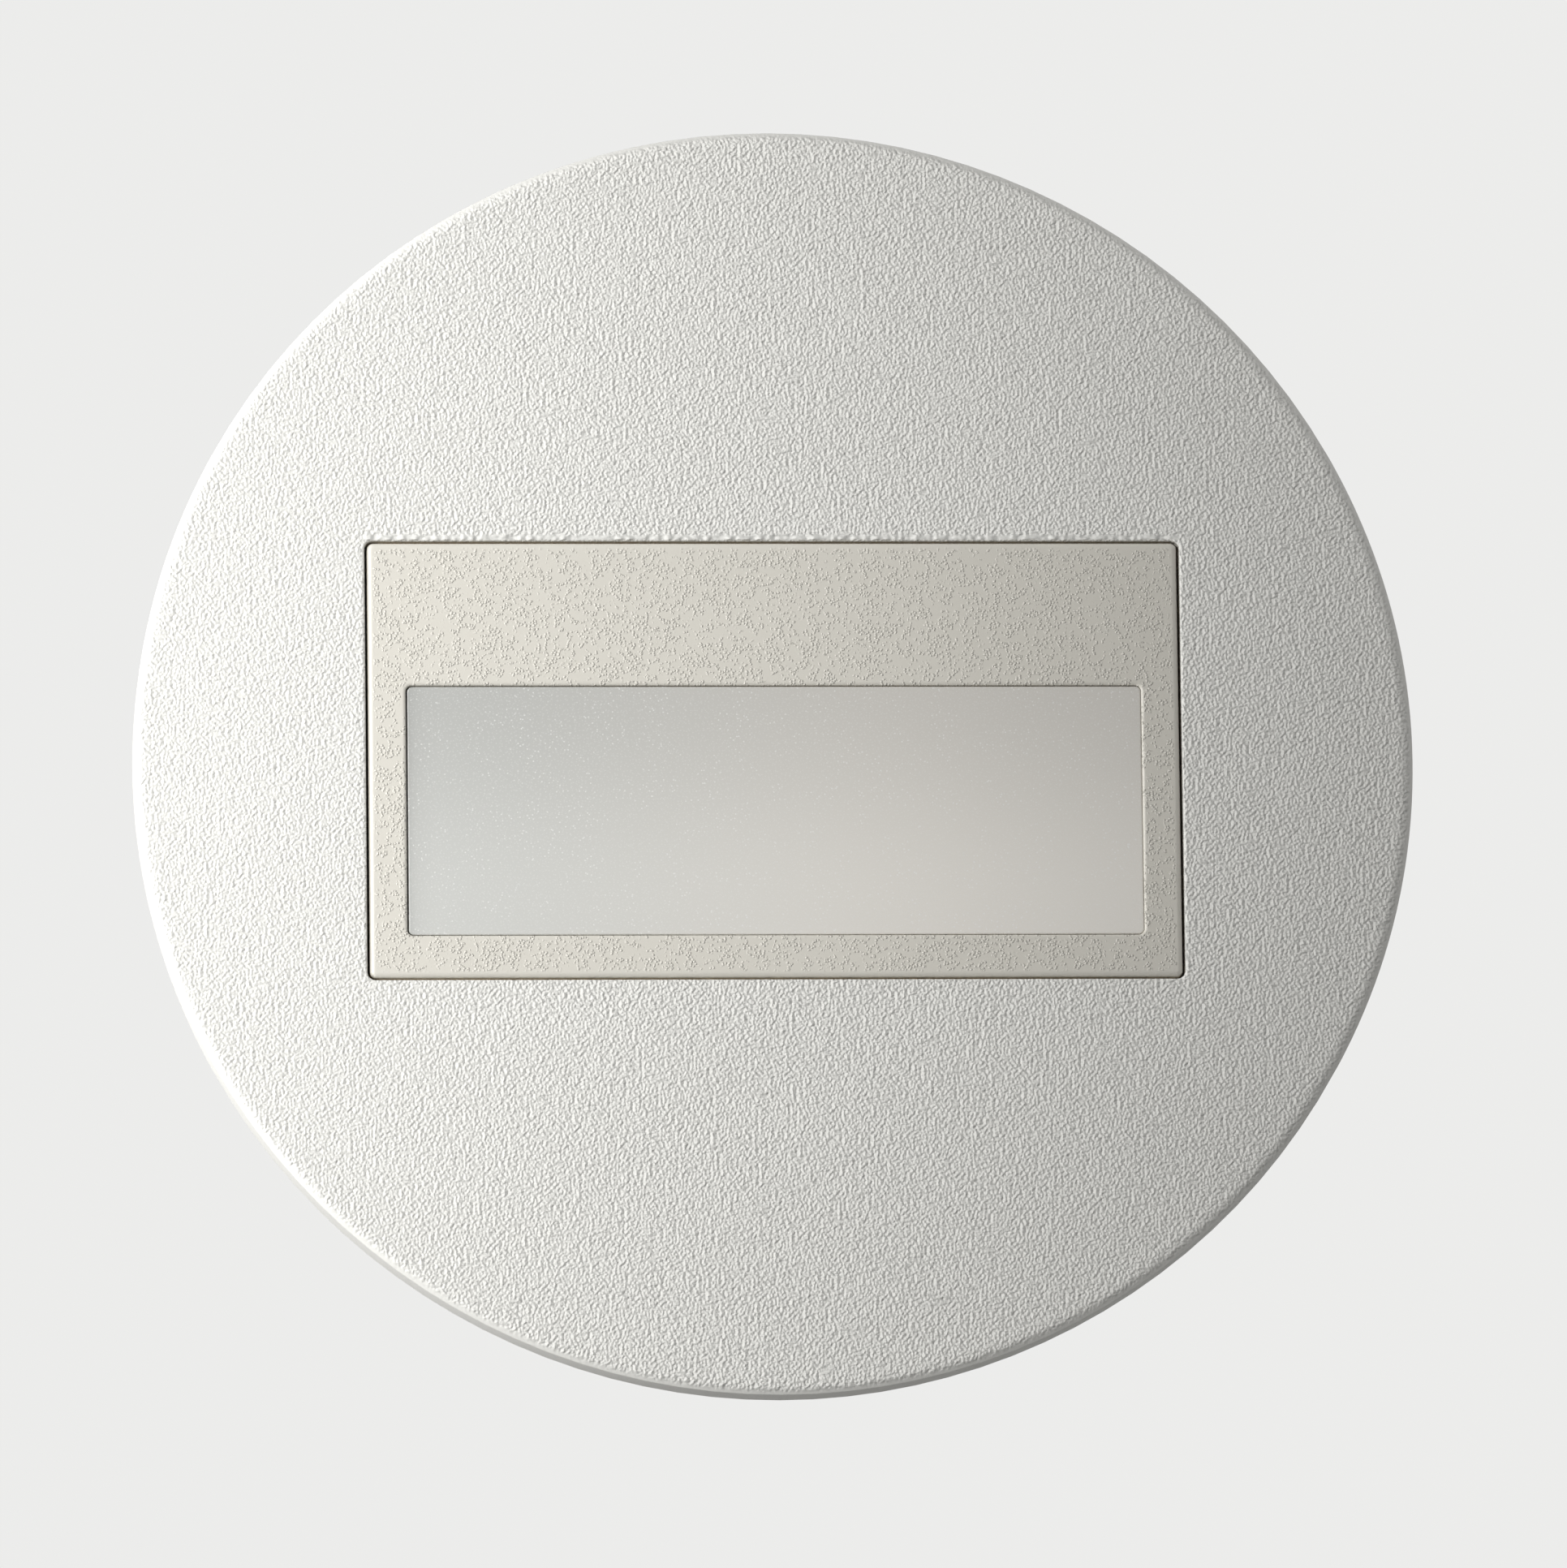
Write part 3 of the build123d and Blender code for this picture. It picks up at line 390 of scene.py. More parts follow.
def toned(colour, factor):
    """The colour, darker or lighter."""
    return tuple(min(1.0, channel * factor) for channel in colour)


def powder_coat(sizes):
    """Matt wrinkled powder coat, smooth over the outer edge and flatter towards the left, with painted
    shade in the hollows between its wrinkles.
    """
    coat = finish("powder_coat")
    pitch, half_width = sizes.wrinkle_pitch, sizes.aperture_width / 2
    outer, smooth, full = COVER_BOX[1].x, 0.05 * MM, 0.5 * MM
    pool_foot, pool_full, pool_end, pool_side = 0.1 * MM, 0.2 * MM, 0.5 * MM, 0.2 * MM
    x, z = coat.along("X"), coat.along("Z")
    from_centre = (x * x + z * z) ** 0.5
    flat = coat.between(from_centre, outer - smooth, outer - full)
    grains = coat.grain(pitch, detail=0.0, distortion=0.1)
    swells = coat.grain(2.2 * pitch, detail=0.0)
    fines = coat.grain(0.62 * pitch, detail=0.0)
    lumps = grains * 0.62 + fines * 0.18 + swells * 0.2
    above = z - sizes.aperture_height / 2
    pooled = (
        coat.between(above, pool_end, pool_full)
        * coat.between(above, 0.0, pool_foot)
        * coat.between(abs(x), half_width + pool_side, half_width)
    )
    beads = coat.grain(2.0 * pitch, detail=0.0)
    thickness = coat.between(x, -outer, 0.0) * 0.35 + 0.75
    height = (lumps + pooled * (beads - lumps)) * flat * thickness
    # Painted shade: the coat's colour is darker in the hollows between its wrinkles.
    painted_valley_shade = coat.between(lumps, 0.3, 0.5)
    cloud = coat.grain(9 * MM, detail=3.0)
    tone = coat.blend(painted_valley_shade, toned(sizes.coat, 0.93), sizes.coat)
    coat.shade(
        Base_Color=coat.blend(cloud * 0.25, tone, toned(sizes.coat, 0.965)),
        Roughness=coat.between(lumps, 0.2, 0.8) * 0.16 + 0.46,
        Normal=coat.bump(height, sizes.wrinkle_height),
        Specular_IOR_Level=0.4,
    )
    return coat.owner


def panel_plastic(sizes):
    """Satin warm white plastic with raised specks that stop short of the edges, painted shade that
    darkens it towards the right, and painted shade that tints its sides brown in the gap.
    """
    plastic = finish("moulded_panel")
    pitch, smooth, full, gap_depth = sizes.speck_pitch, 0.25 * MM, 0.55 * MM, 0.4 * MM
    half_width, half_height = sizes.width / 2, sizes.height / 2
    # Tints of painted shade: warm brown on the block's sides in the gap round it, grey towards the
    # right.
    painted_gap_shade_tone, painted_right_shade_tone = (1.0, 0.83, 0.62), (0.9, 0.9, 0.9)
    x, y, z = plastic.along("X"), plastic.along("Y"), plastic.along("Z")
    side = plastic.between(abs(x), half_width - smooth, half_width - full)
    top = plastic.between(abs(z), half_height - smooth, half_height - full)
    scatter = plastic.grain(1.6 * pitch, detail=1.0)
    first = plastic.dots(pitch, radius=0.4 * pitch)
    second = plastic.dots(1.3 * pitch, radius=0.4 * pitch, seed=31.7)
    dots = first.most(second) * plastic.between(scatter, 0.42, 0.57) * (side * top)
    soft = plastic.grain(1.2 * MM)
    cloud = plastic.grain(7 * MM, detail=3.0)
    # Painted shade that darkens the face towards the right, away from the key light.
    painted_right_shade = plastic.between(x, -0.1 * sizes.width, 0.6 * sizes.width)
    face = FLANGE_BOX[0].y + sizes.edge_radius
    # Painted shade: the block's sides, down in the gap round it, are tinted brown.
    painted_gap_shade = plastic.between(y, face, face + gap_depth) * plastic.between(y, 0.0, -gap_depth)
    tone = plastic.blend(cloud * 0.5, sizes.plastic, toned(sizes.plastic, 0.965))
    tone = plastic.blend(painted_right_shade, tone, painted_right_shade_tone, mode="MULTIPLY")
    plastic.shade(
        Base_Color=plastic.blend(painted_gap_shade, tone, painted_gap_shade_tone, mode="MULTIPLY"),
        Roughness=plastic.between(soft, 0.3, 0.7) * 0.08 + 0.4,
        Normal=plastic.bump(dots, sizes.speck_height, plastic.bump(soft, distance=0.004 * MM)),
        Specular_IOR_Level=0.45,
    )
    return plastic.owner


def frosted_lens(sizes):
    """Frosted translucent plastic with dust. Painted shade darkens its top and a strip along its left
    edge, and painted light brightens it towards the right, where more light comes back through it.
    """
    lens = finish("frosted_window")
    # Tones of painted light towards the right and of painted shade along the left edge.
    painted_light_tone, painted_left_shade_tone = (1.325, 1.27, 1.235), (0.94, 0.94, 0.94)
    dust_tone, fine_tone = (0.97, 0.97, 0.95), (0.93, 0.93, 0.91)
    shade_start, shade_full = 3.2 * MM, 0.8 * MM
    x, z = lens.along("X"), lens.along("Z")
    low, high = LENS_BOX
    # Painted shade, darker towards the top.
    painted_top_shade = lens.between(z, high.z, high.z - 0.85 * (high.z - low.z))
    # Painted light, brighter towards the right.
    across = lens.between(x, low.x, high.x / 2)
    # Painted shade in a strip along the left edge.
    shaded = lens.between(x, low.x + shade_start, low.x + shade_full)
    drift = lens.between(lens.grain(1.6 * MM), 0.42, 0.6)
    dust = lens.dots(pitch=0.45 * MM, radius=0.07 * MM) * drift
    fine = lens.dots(pitch=0.24 * MM, radius=0.06 * MM, seed=17.3)
    haze = lens.grain(0.16 * MM)
    tone = lens.blend(painted_top_shade, toned(sizes.lens, 0.77), toned(sizes.lens, 0.97))
    tone = lens.blend(across, tone, painted_light_tone, mode="MULTIPLY")
    tone = lens.blend(shaded, tone, painted_left_shade_tone, mode="MULTIPLY")
    tone = lens.blend(dust * 0.6, tone, dust_tone)
    tone = lens.blend(fine * 0.22, tone, fine_tone)
    lens.shade(
        Base_Color=lens.blend(lens.between(haze, 0.55, 0.8) * 0.3, tone, toned(sizes.lens, 1.2)),
        Roughness=haze * 0.1 + 0.32,
        Normal=lens.bump(haze, distance=0.006 * MM),
        Specular_IOR_Level=0.45,
    )
    return lens.owner


def plated(name, colour, roughness, pitch):
    """Zinc plate: pale crystals, faint rolling lines and dull patches."""
    metal = finish(name)
    shine = metal.add("ShaderNodeRGBToBW", values={0: metal.cells(pitch, output="Color")})
    lines = metal.grain(pitch=0.12 * MM, stretch=(0.06, 1, 1))
    patch = metal.grain(pitch=4 * MM, detail=4.0)
    dull = metal.between(patch, 0.55, 0.75) * 0.35
    tone = metal.blend(shine * 0.35, toned(colour, 0.86), toned(colour, 1.08))
    metal.shade(
        Base_Color=metal.blend(dull, tone, toned(colour, 0.7)),
        Metallic=1.0,
        Roughness=roughness + lines * 0.14 + patch * 0.08,
        Normal=metal.bump(lines, distance=0.003 * MM),
    )
    return metal.owner


def machined(name, colour, roughness):
    """Turned metal: fine lines round the piece and a little wear."""
    metal = finish(name)
    lines = metal.grain(pitch=0.05 * MM, detail=1.0, stretch=(1, 0.2, 1))
    wear = metal.between(metal.grain(pitch=1.1 * MM, detail=4.0), 0.5, 0.7) * 0.4
    metal.shade(
        Base_Color=metal.blend(wear, colour, toned(colour, 0.72)),
        Metallic=1.0,
        Roughness=roughness + lines * 0.12,
        Normal=metal.bump(lines, distance=0.002 * MM),
    )
    return metal.owner


def moulded(name, colour, roughness, pitch, depth, specular=0.4):
    """Moulded plastic or rubber with a spark-eroded texture, faint cloudiness and a painted highlight
    on the texture's tops.
    """
    plastic = finish(name)
    texture = plastic.grain(pitch, detail=3.0)
    # Painted highlight: the texture's tops are lighter.
    painted_peak_highlight = plastic.between(texture, 0.62, 0.8) * 0.25
    cloud = plastic.grain(pitch=6 * MM, detail=3.0) * 0.6
    tone = plastic.blend(cloud, colour, toned(colour, 1.35))
    plastic.shade(
        Base_Color=plastic.blend(painted_peak_highlight, tone, toned(colour, 1.8)),
        Roughness=roughness + texture * 0.15,
        Normal=plastic.bump(texture, depth),
        Specular_IOR_Level=specular,
    )
    return plastic.owner


def cellular(name, colour):
    """Closed-cell foam with open pores where it was cut, and painted shade in those pores."""
    foam = finish(name)
    pores = foam.between(foam.cells(pitch=0.28 * MM), 0.1, 0.5)
    small = foam.between(foam.cells(pitch=0.11 * MM), 0.1, 0.5)
    height = pores * 0.7 + small * 0.3
    foam.shade(
        # Painted shade: darker in the pores, lighter on the cell walls.
        Base_Color=foam.blend(height, toned(colour, 0.4), toned(colour, 1.3)),
        Roughness=0.85,
        Normal=foam.bump(height, distance=0.08 * MM),
        Specular_IOR_Level=0.2,
    )
    return foam.owner


def solder_resist(name, colour, pad):
    """Printed board: resist over raised copper tracks."""
    board = finish(name)
    raised = board.between(board.cells(pitch=2.4 * MM, randomness=0.6), 0.4, 0.46)
    weave = board.grain(pitch=0.25 * MM, detail=1.0)
    board.shade(
        Base_Color=board.blend(raised * 0.5, colour, pad),
        Roughness=weave * 0.12 + 0.32,
        Normal=board.bump(raised, distance=0.02 * MM),
        Specular_IOR_Level=0.5,
    )
    return board.owner


# Shapes


class Shell:
    """Points and faces of one piece, laid down ring by ring."""

    def __init__(self):
        self.points = []
        self.faces = []

    def skin(self, rings, closed=False, first_cap=False, last_cap=False):
        """Joins rings of as many points each. closed joins the last ring to the first."""
        start = len(self.points)
        count = len(rings[0])
        for ring in rings:
            self.points.extend(ring)
        pairs = list(range(len(rings) - 1)) + ([len(rings) - 1] if closed else [])
        for row in pairs:
            a = start + row * count
            b = start + (row + 1) % len(rings) * count
            for i in range(count):
                j = (i + 1) % count
                self.faces.append((a + i, a + j, b + j, b + i))
        if first_cap:
            self.faces.append(tuple(start + i for i in reversed(range(count))))
        if last_cap:
            last = start + (len(rings) - 1) * count
            self.faces.append(tuple(last + i for i in range(count)))

    def block(self, corners, low, high):
        """A straight prism: corners as (x, z) from depth low to depth high."""
        self.skin(
            [[(x, y, z) for x, z in corners] for y in (low, high)], first_cap=True, last_cap=True
        )

    def turned(self, profile, centre, steps=48, closed=False):
        """A profile of (radius, depth) turned about a line along Y through centre, (x, z)."""
        turns = [2 * pi * i / steps for i in range(steps)]
        self.skin(
            [
                [(centre[0] + r * cos(t), y, centre[1] + r * sin(t)) for t in turns]
                for r, y in profile
            ],
            closed=closed,
            first_cap=not closed,
            last_cap=not closed,
        )

    def mesh(self, name):
        data = bpy.data.meshes.new(name)
        data.from_pydata(self.points, [], self.faces)
        shape = bmesh.new()
        shape.from_mesh(data)
        bmesh.ops.recalc_face_normals(shape, faces=shape.faces)
        shape.to_mesh(data)
        shape.free()
        return data


def eased_copy(node, width, segments=2):
    """A CAD node's shape with its sharp edges softened."""
    shape = bmesh.new()
    shape.from_mesh(frame["nodes"][node].data)
    bmesh.ops.remove_doubles(shape, verts=shape.verts, dist=SAME_POINT)
    bmesh.ops.dissolve_limit(
        shape, angle_limit=FLAT_ANGLE, verts=shape.verts, edges=shape.edges, delimit=set()
    )
    sharp = [
        edge
        for edge in shape.edges
        if len(edge.link_faces) == 2 and edge.calc_face_angle(0.0) > SHARP_ANGLE
    ]
    bmesh.ops.bevel(
        shape,
        geom=sharp,
        offset=width,
        offset_type="OFFSET",
        segments=segments,
        profile=0.5,
        affect="EDGES",
        clamp_overlap=True,
    )
    bmesh.ops.recalc_face_normals(shape, faces=shape.faces)
    data = bpy.data.meshes.new(node)
    shape.to_mesh(data)
    shape.free()
    return data


def stand_in(name, data, node, material, sharp=SMOOTH_LIMIT):
    """Puts a mesh with its finish on its node's body, in that node's stead."""
    data.materials.clear()
    data.materials.append(material)
    data.shade_smooth()
    data.set_sharp_from_angle(angle=sharp)
    piece = bpy.data.objects.new(name, data)
    bpy.context.scene.collection.objects.link(piece)
    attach(piece, frame["nodes"][node]["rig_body"])
    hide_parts(node)
    return piece


def eased_piece(name, node, width, material, segments=2):
    """Places a softened copy of a node, whose flat faces are shaded flat up to their edges."""
    piece = stand_in(name, eased_copy(node, width, segments), node, material, EASED_LIMIT)
    even = piece.modifiers.new("flat_faces", "WEIGHTED_NORMAL")
    even.keep_sharp = True
    return piece


def rounded_rectangle(half_width, half_height, radius, corner_steps=8, side_steps=40):
    """Columns round a rounded rectangle, which serve every parallel outline: a point inside it,
    the way out, the distance from the point to the outline, and the way in for outlines inside
    that distance."""
    columns = []
    for quarter in range(4):
        start = quarter * pi / 2
        side = 1 if quarter in (0, 3) else -1
        rise = 1 if quarter in (0, 1) else -1
        centre = Vector((side * (half_width - radius), rise * (half_height - radius)))
        for step in range(corner_steps + 1):
            angle = start + pi / 2 * step / corner_steps
            columns.append((centre, Vector((cos(angle), sin(angle))), radius, Vector((side, rise))))
        outward = Vector((cos(start + pi / 2), sin(start + pi / 2)))
        onward = Vector((-outward.y, outward.x))
        far, reach = half_width, half_height - radius
        if quarter % 2 == 0:
            far, reach = half_height, half_width - radius
        spread = atan(reach / far)
        for step in range(1, side_steps):
            along = far * tan(spread * (2 * step / side_steps - 1))
            columns.append((outward * far + onward * along, outward, 0.0, outward))
    return columns


def outline(columns, depth, offset=0.0, shift=(0.0, 0.0)):
    """The ring of points that lies an offset outside the columns' outline, at a depth."""
    ring = []
    for centre, outward, radius, diagonal in columns:
        reach = radius + offset
        point = centre + (outward if reach > 0 else diagonal) * reach
        ring.append((point.x + shift[0], depth, point.y + shift[1]))
    return ring


def rounding(depth, steps, reach=None):
    """Offsets (outwards, forwards) of a rounded edge, from its side to its face. It is a quarter
    of a circle, or of an ellipse if it reaches further over the face."""
    reach = depth if reach is None else reach
    turns = [pi / 2 * step / steps for step in range(steps + 1)]
    return [(reach * (1 - cos(turn)), depth * sin(turn)) for turn in turns]


def circle_through(columns, radius, depth):
    """A circle whose points face the columns' points."""
    ring = []
    for centre, outward, inner, _ in columns:
        point = centre + outward * inner
        angle = atan2(point.y, point.x)
        ring.append((radius * cos(angle), depth, radius * sin(angle)))
    return ring


def cross_recess(data, centre, face, width, reach, depth, top=1.15, floor=0.72):
    """Cuts a cross, tapered from top to floor, into a screw head whose face looks towards -Y."""
    cutter = Shell()
    for along_x in (True, False):
        rings = []
        for y, scale in ((face - depth / 2, top), (face + depth, floor)):
            long, short = reach * scale, width / 2 * scale
            half = (long, short) if along_x else (short, long)
            rings.append(
                [
                    (centre[0] + sx * half[0], y, centre[1] + sz * half[1])
                    for sx, sz in ((1, 1), (-1, 1), (-1, -1), (1, -1))
                ]
            )
        cutter.skin(rings, first_cap=True, last_cap=True)
    tool = bpy.data.objects.new("cutter", cutter.mesh("cutter"))
    head = bpy.data.objects.new("head", data)
    bpy.context.scene.collection.objects.link(tool)
    bpy.context.scene.collection.objects.link(head)
    cut = head.modifiers.new("recess", "BOOLEAN")
    cut.operation = "DIFFERENCE"
    cut.solver = "EXACT"
    cut.use_self = True
    cut.object = tool
    result = bpy.data.meshes.new_from_object(
        head.evaluated_get(bpy.context.evaluated_depsgraph_get())
    )
    bpy.data.objects.remove(tool)
    bpy.data.objects.remove(head)
    return result


def joined(meshes, name):
    """One mesh of several."""
    shape = bmesh.new()
    for data in meshes:
        shape.from_mesh(data)
    result = bpy.data.meshes.new(name)
    shape.to_mesh(result)
    shape.free()
    return result


# Pieces


class STEPLIGHT_OT_cover(Operator):
    """Builds the round cover with its rounded edges, collar and ribs"""

    bl_idname = "steplight.cover"
    bl_label = "Cover"

    def execute(self, context):
        sizes = context.scene.step_light_cover
        front = COVER_BOX[0].y
        rim_back = COVER_BOX[1].y
        radius = COVER_BOX[1].x
        face_back = front + sizes.wall
        rim_inside = radius - sizes.wall
        columns = rounded_rectangle(
            sizes.aperture_width / 2, sizes.aperture_height / 2, sizes.aperture_corner
        )
        rings = [outline(columns, face_back + sizes.collar_depth)]
        for out, forward in rounding(sizes.aperture_edge, APERTURE_STEPS):
            rings.append(outline(columns, front + sizes.aperture_edge - forward, out))
        rings.append(outline(columns, front, sizes.aperture_edge + FLAT_EDGE))
        rings.append(circle_through(columns, radius - sizes.edge_reach - FLAT_EDGE, front))
        for out, forward in reversed(rounding(sizes.edge_depth, EDGE_STEPS, sizes.edge_reach)):
            rings.append(circle_through(columns, radius - out, front + sizes.edge_depth - forward))
        rings += [
            circle_through(columns, radius, rim_back - sizes.rim_chamfer),
            circle_through(columns, radius - sizes.rim_chamfer, rim_back),
            circle_through(columns, rim_inside, rim_back),
            circle_through(columns, rim_inside, face_back + sizes.inner_chamfer),
            circle_through(columns, rim_inside - sizes.inner_chamfer, face_back),
            outline(columns, face_back, sizes.collar_wall),
            outline(columns, face_back + sizes.collar_depth, sizes.collar_wall),
        ]
        cover = Shell()
        cover.skin(rings, closed=True)
        self.add_ribs(cover, sizes, face_back)
        self.add_studs(cover, sizes, face_back)
        piece = stand_in("cover", cover.mesh("cover"), "cover_plate", powder_coat(sizes))
        return {"FINISHED"}

    def add_ribs(self, cover, sizes, face_back):
        """Ribs that run out from the collar like spokes."""
        half_width = sizes.aperture_width / 2 + sizes.collar_wall
        half_height = sizes.aperture_height / 2 + sizes.collar_wall
        for rib in range(sizes.rib_count):
            turn = 2 * pi * (rib + 0.5) / sizes.rib_count
            along = Vector((cos(turn), sin(turn)))
            across = Vector((-along.y, along.x)) * sizes.rib_width / 2
            start = min(half_width / abs(along.x), half_height / abs(along.y)) - sizes.rib_width / 2
            corners = [
                along * start + across,
                along * sizes.rib_reach + across,
                along * sizes.rib_reach - across,
                along * start - across,
            ]
            cover.block(
                [(c.x, c.y) for c in corners], face_back - SINK, face_back + sizes.rib_depth
            )

    def add_studs(self, cover, sizes, face_back):
        """Studs that hold the springs' feet."""
        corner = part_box("cover_springs")[1]
        stud_x = corner.x - sizes.spring_width / 2
        stud_z = corner.z - sizes.foot_length / 2
        profile = [(0.0, face_back - SINK), (STUD_PROFILE[0][0] * MM, face_back - SINK)]
        profile += [(radius * MM, face_back + height * MM) for radius, height in STUD_PROFILE]
        for side in (1, -1):
            for rise in (1, -1):
                cover.turned(profile, (side * stud_x, rise * stud_z), steps=24)


class STEPLIGHT_OT_panel(Operator):
    """Builds the light panel with its window, and the frosted lens"""

    bl_idname = "steplight.panel"
    bl_label = "Light panel and lens"

    def execute(self, context):
        sizes = context.scene.step_light_panel
        front, back = FLANGE_BOX[0].y, FLANGE_BOX[1].y
        wall_back = front + sizes.front_wall
        block = rounded_rectangle(sizes.width / 2, sizes.height / 2, sizes.corner)
        window = rounded_rectangle(
            sizes.window_width / 2, sizes.window_height / 2, sizes.window_corner
        )
        flange = rounded_rectangle(FLANGE_BOX[1].x, FLANGE_BOX[1].z, sizes.flange_corner)
        drop = (0.0, -sizes.window_drop)
        rings = [outline(window, wall_back, shift=drop)]
        for out, forward in rounding(sizes.window_edge, WINDOW_STEPS):
            rings.append(outline(window, front + sizes.window_edge - forward, out, drop))
        rings.append(outline(window, front, sizes.window_edge + FLAT_EDGE, drop))
        rings.append(outline(block, front, -sizes.edge_radius - FLAT_EDGE))
        for out, forward in reversed(rounding(sizes.edge_radius, BLOCK_STEPS)):
            rings.append(outline(block, front + sizes.edge_radius - forward, -out))
        rings += [
            outline(block, 0.0),
            outline(flange, 0.0, -sizes.flange_chamfer / 2),
            outline(flange, sizes.flange_chamfer),
            outline(flange, back - sizes.flange_chamfer),
            outline(flange, back, -sizes.flange_chamfer),
            outline(block, back, -sizes.side_wall),
            outline(block, wall_back, -sizes.side_wall),
        ]
        panel = Shell()
        panel.skin(rings, closed=True)
        piece = stand_in("panel", panel.mesh("panel"), "light_panel", panel_plastic(sizes))
        self.set_lens(sizes, window, drop)
        return {"FINISHED"}

    def set_lens(self, sizes, window, drop):
        """The lens fills the window from behind and sits on a lip that is wider than it."""
        front, back = LENS_BOX[0].y, LENS_BOX[1].y
        lip_front = back - sizes.lens_lip
        half_height = (LENS_BOX[1].z - LENS_BOX[0].z) / 2
        lip = rounded_rectangle(LENS_BOX[1].x, half_height, sizes.lip_corner)
        rings = [outline(lip, back, shift=drop), outline(lip, lip_front, shift=drop)]
        drop = (sizes.lens_right, -sizes.window_drop - sizes.lens_down)
        rings.append(outline(window, lip_front, -sizes.lens_gap, drop))
        for out, forward in rounding(sizes.lens_edge, WINDOW_STEPS):
            depth = front + sizes.lens_edge - forward
            rings.append(outline(window, depth, -sizes.lens_gap - out, drop))
        inset = sizes.lens_gap + sizes.lens_edge + FLAT_EDGE
        rings.append(outline(window, front, -inset, drop))
        rings.append(outline(window, front, -inset - FLAT_EDGE, drop))
        lens = Shell()
        lens.skin(rings, first_cap=True, last_cap=True)
        piece = stand_in("window_lens", lens.mesh("window_lens"), "lens", frosted_lens(sizes))


class STEPLIGHT_OT_mounting(Operator):
    """Softens the mounting frame, the cover springs and the foam ring"""

    bl_idname = "steplight.mounting"
    bl_label = "Mounting frame, springs and foam ring"

    def execute(self, context):
        sizes = context.scene.step_light_fixings
        zinc = plated("zinc_plate", sizes.zinc, roughness=0.3, pitch=1.6 * MM)
        eased_piece("frame_plate", "mounting_frame", sizes.edge, zinc)
        for row in ("top", "bottom"):
            eased_piece(f"spreader_{row}", f"claw_{row}", sizes.edge, zinc)
        springs = plated("spring_strip", sizes.steel, roughness=0.26, pitch=0.9 * MM)
        eased_piece("spring_strips", "cover_springs", SPRING_EDGE, springs)
        foam = cellular("black_foam", context.scene.step_light_housing.foam)
        eased_piece("foam_ring", "wall_seal", FOAM_EDGE, foam)
        return {"FINISHED"}


class STEPLIGHT_OT_screws(Operator):
    """Builds the clamping screws, the cap screws and the threaded claw screws"""

    bl_idname = "steplight.screws"
    bl_label = "Screws"

    def execute(self, context):
        sizes = context.scene.step_light_fixings
        steel = machined("screw_metal", sizes.screw, roughness=0.24)
        for node, name, facing, thick in (
            ("frame_screws", "clamp_screws", 1, 0.8 * MM),
            ("rear_cap_screws", "cap_screws", -1, 1.0 * MM),
        ):
            low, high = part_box(node)
            head = self.head_radius(node)
            centres = [
                (sx * (high.x - head), sz * (high.z - head)) for sx in (1, -1) for sz in (1, -1)
            ]
            face, end = (low.y, high.y) if facing == 1 else (high.y, low.y)
            data = joined(
                [self.pan_head(c, face, end, head, thick, facing, sizes) for c in centres], name
            )
            stand_in(name, data, node, steel)
        thick, neck = 0.9 * MM, 0.2 * MM
        for row in ("top", "bottom"):
            node = f"claw_screw_{row}"
            low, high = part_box(node)
            centre = (0.0, (low.z + high.z) / 2)
            start = low.y + thick
            heads = self.pan_head(centre, low.y, start + neck, high.x, thick, 1, sizes)
            thread = self.thread(centre, start, high.y, sizes)
            stand_in(f"spreader_screw_{row}", joined([heads, thread], node), node, steel)
        for row in ("top", "bottom"):
            eased_piece(f"hinge_pin_{row}", f"claw_pin_{row}", PIN_EDGE, steel)
        return {"FINISHED"}

    def head_radius(self, node):
        """Half the width of the one head that lies to the upper right."""
        vertices = [v.co for v in frame["nodes"][node].data.vertices]
        side = [v for v in vertices if v.x > 0 and v.z > 0]
        return (max(v.x for v in side) - min(v.x for v in side)) / 2

    def pan_head(self, centre, face, end, radius, thick, facing, sizes):
        """A domed head with a cross recess, and its plain shank."""
        shank, recess_reach, recess_depth = 0.6 * radius, 0.56 * radius, 0.6 * thick
        dome = [(radius * r, face + t * thick) for r, t in HEAD_PROFILE]
        dome += [(shank, face + thick), (shank, face + abs(end - face))]
        screw = Shell()
        screw.turned(dome, centre, steps=40)
        data = screw.mesh("screw")
        data = cross_recess(data, centre, face, sizes.recess_width, recess_reach, recess_depth)
        if facing == -1:
            data.transform(Matrix.Translation((0, 2 * face, 0)) @ Matrix.Diagonal((1, -1, 1, 1)))
            data.flip_normals()
        return data

    def thread(self, centre, start, end, sizes, steps=20):
        """A screw thread as one helical skin round its core, narrower towards its tip."""
        pitch = sizes.claw_thread_pitch
        radius, tip_length, tip_taper = 1.5 * MM, 1.2 * MM, 0.3
        root = radius - sizes.claw_thread_depth
        core_radius, core_tip_radius, core_tip = 0.98 * root, 0.66 * root, 0.8 * MM
        rows = int((end - start) / pitch * steps) - steps
        rod = Shell()
        for index in range(rows + steps):
            turn = 2 * pi * index / steps
            depth = start + pitch * index / steps
            for r, lift in ((root, 0.0), (radius, THREAD_CREST[0]), (radius, THREAD_CREST[1])):
                y = min(depth + lift * pitch, end)
                near_end = max(0.0, y - (end - tip_length)) / tip_length
                r *= 1 - tip_taper * near_end
                rod.points.append((centre[0] + r * cos(turn), y, centre[1] + r * sin(turn)))
        for index in range(rows + steps - 1):
            a, b = 3 * index, 3 * (index + 1)
            rod.faces.append((a, b, b + 1, a + 1))
            rod.faces.append((a + 1, b + 1, b + 2, a + 2))
            if index < rows - 1:
                c, d = 3 * (index + steps), 3 * (index + steps + 1)
                rod.faces.append((a + 2, b + 2, d, c))
        core = Shell()
        core.turned(
            [(core_radius, start), (core_radius, end - core_tip), (core_tip_radius, end)],
            centre,
            steps=24,
        )
        return joined([rod.mesh("thread"), core.mesh("core")], "thread")


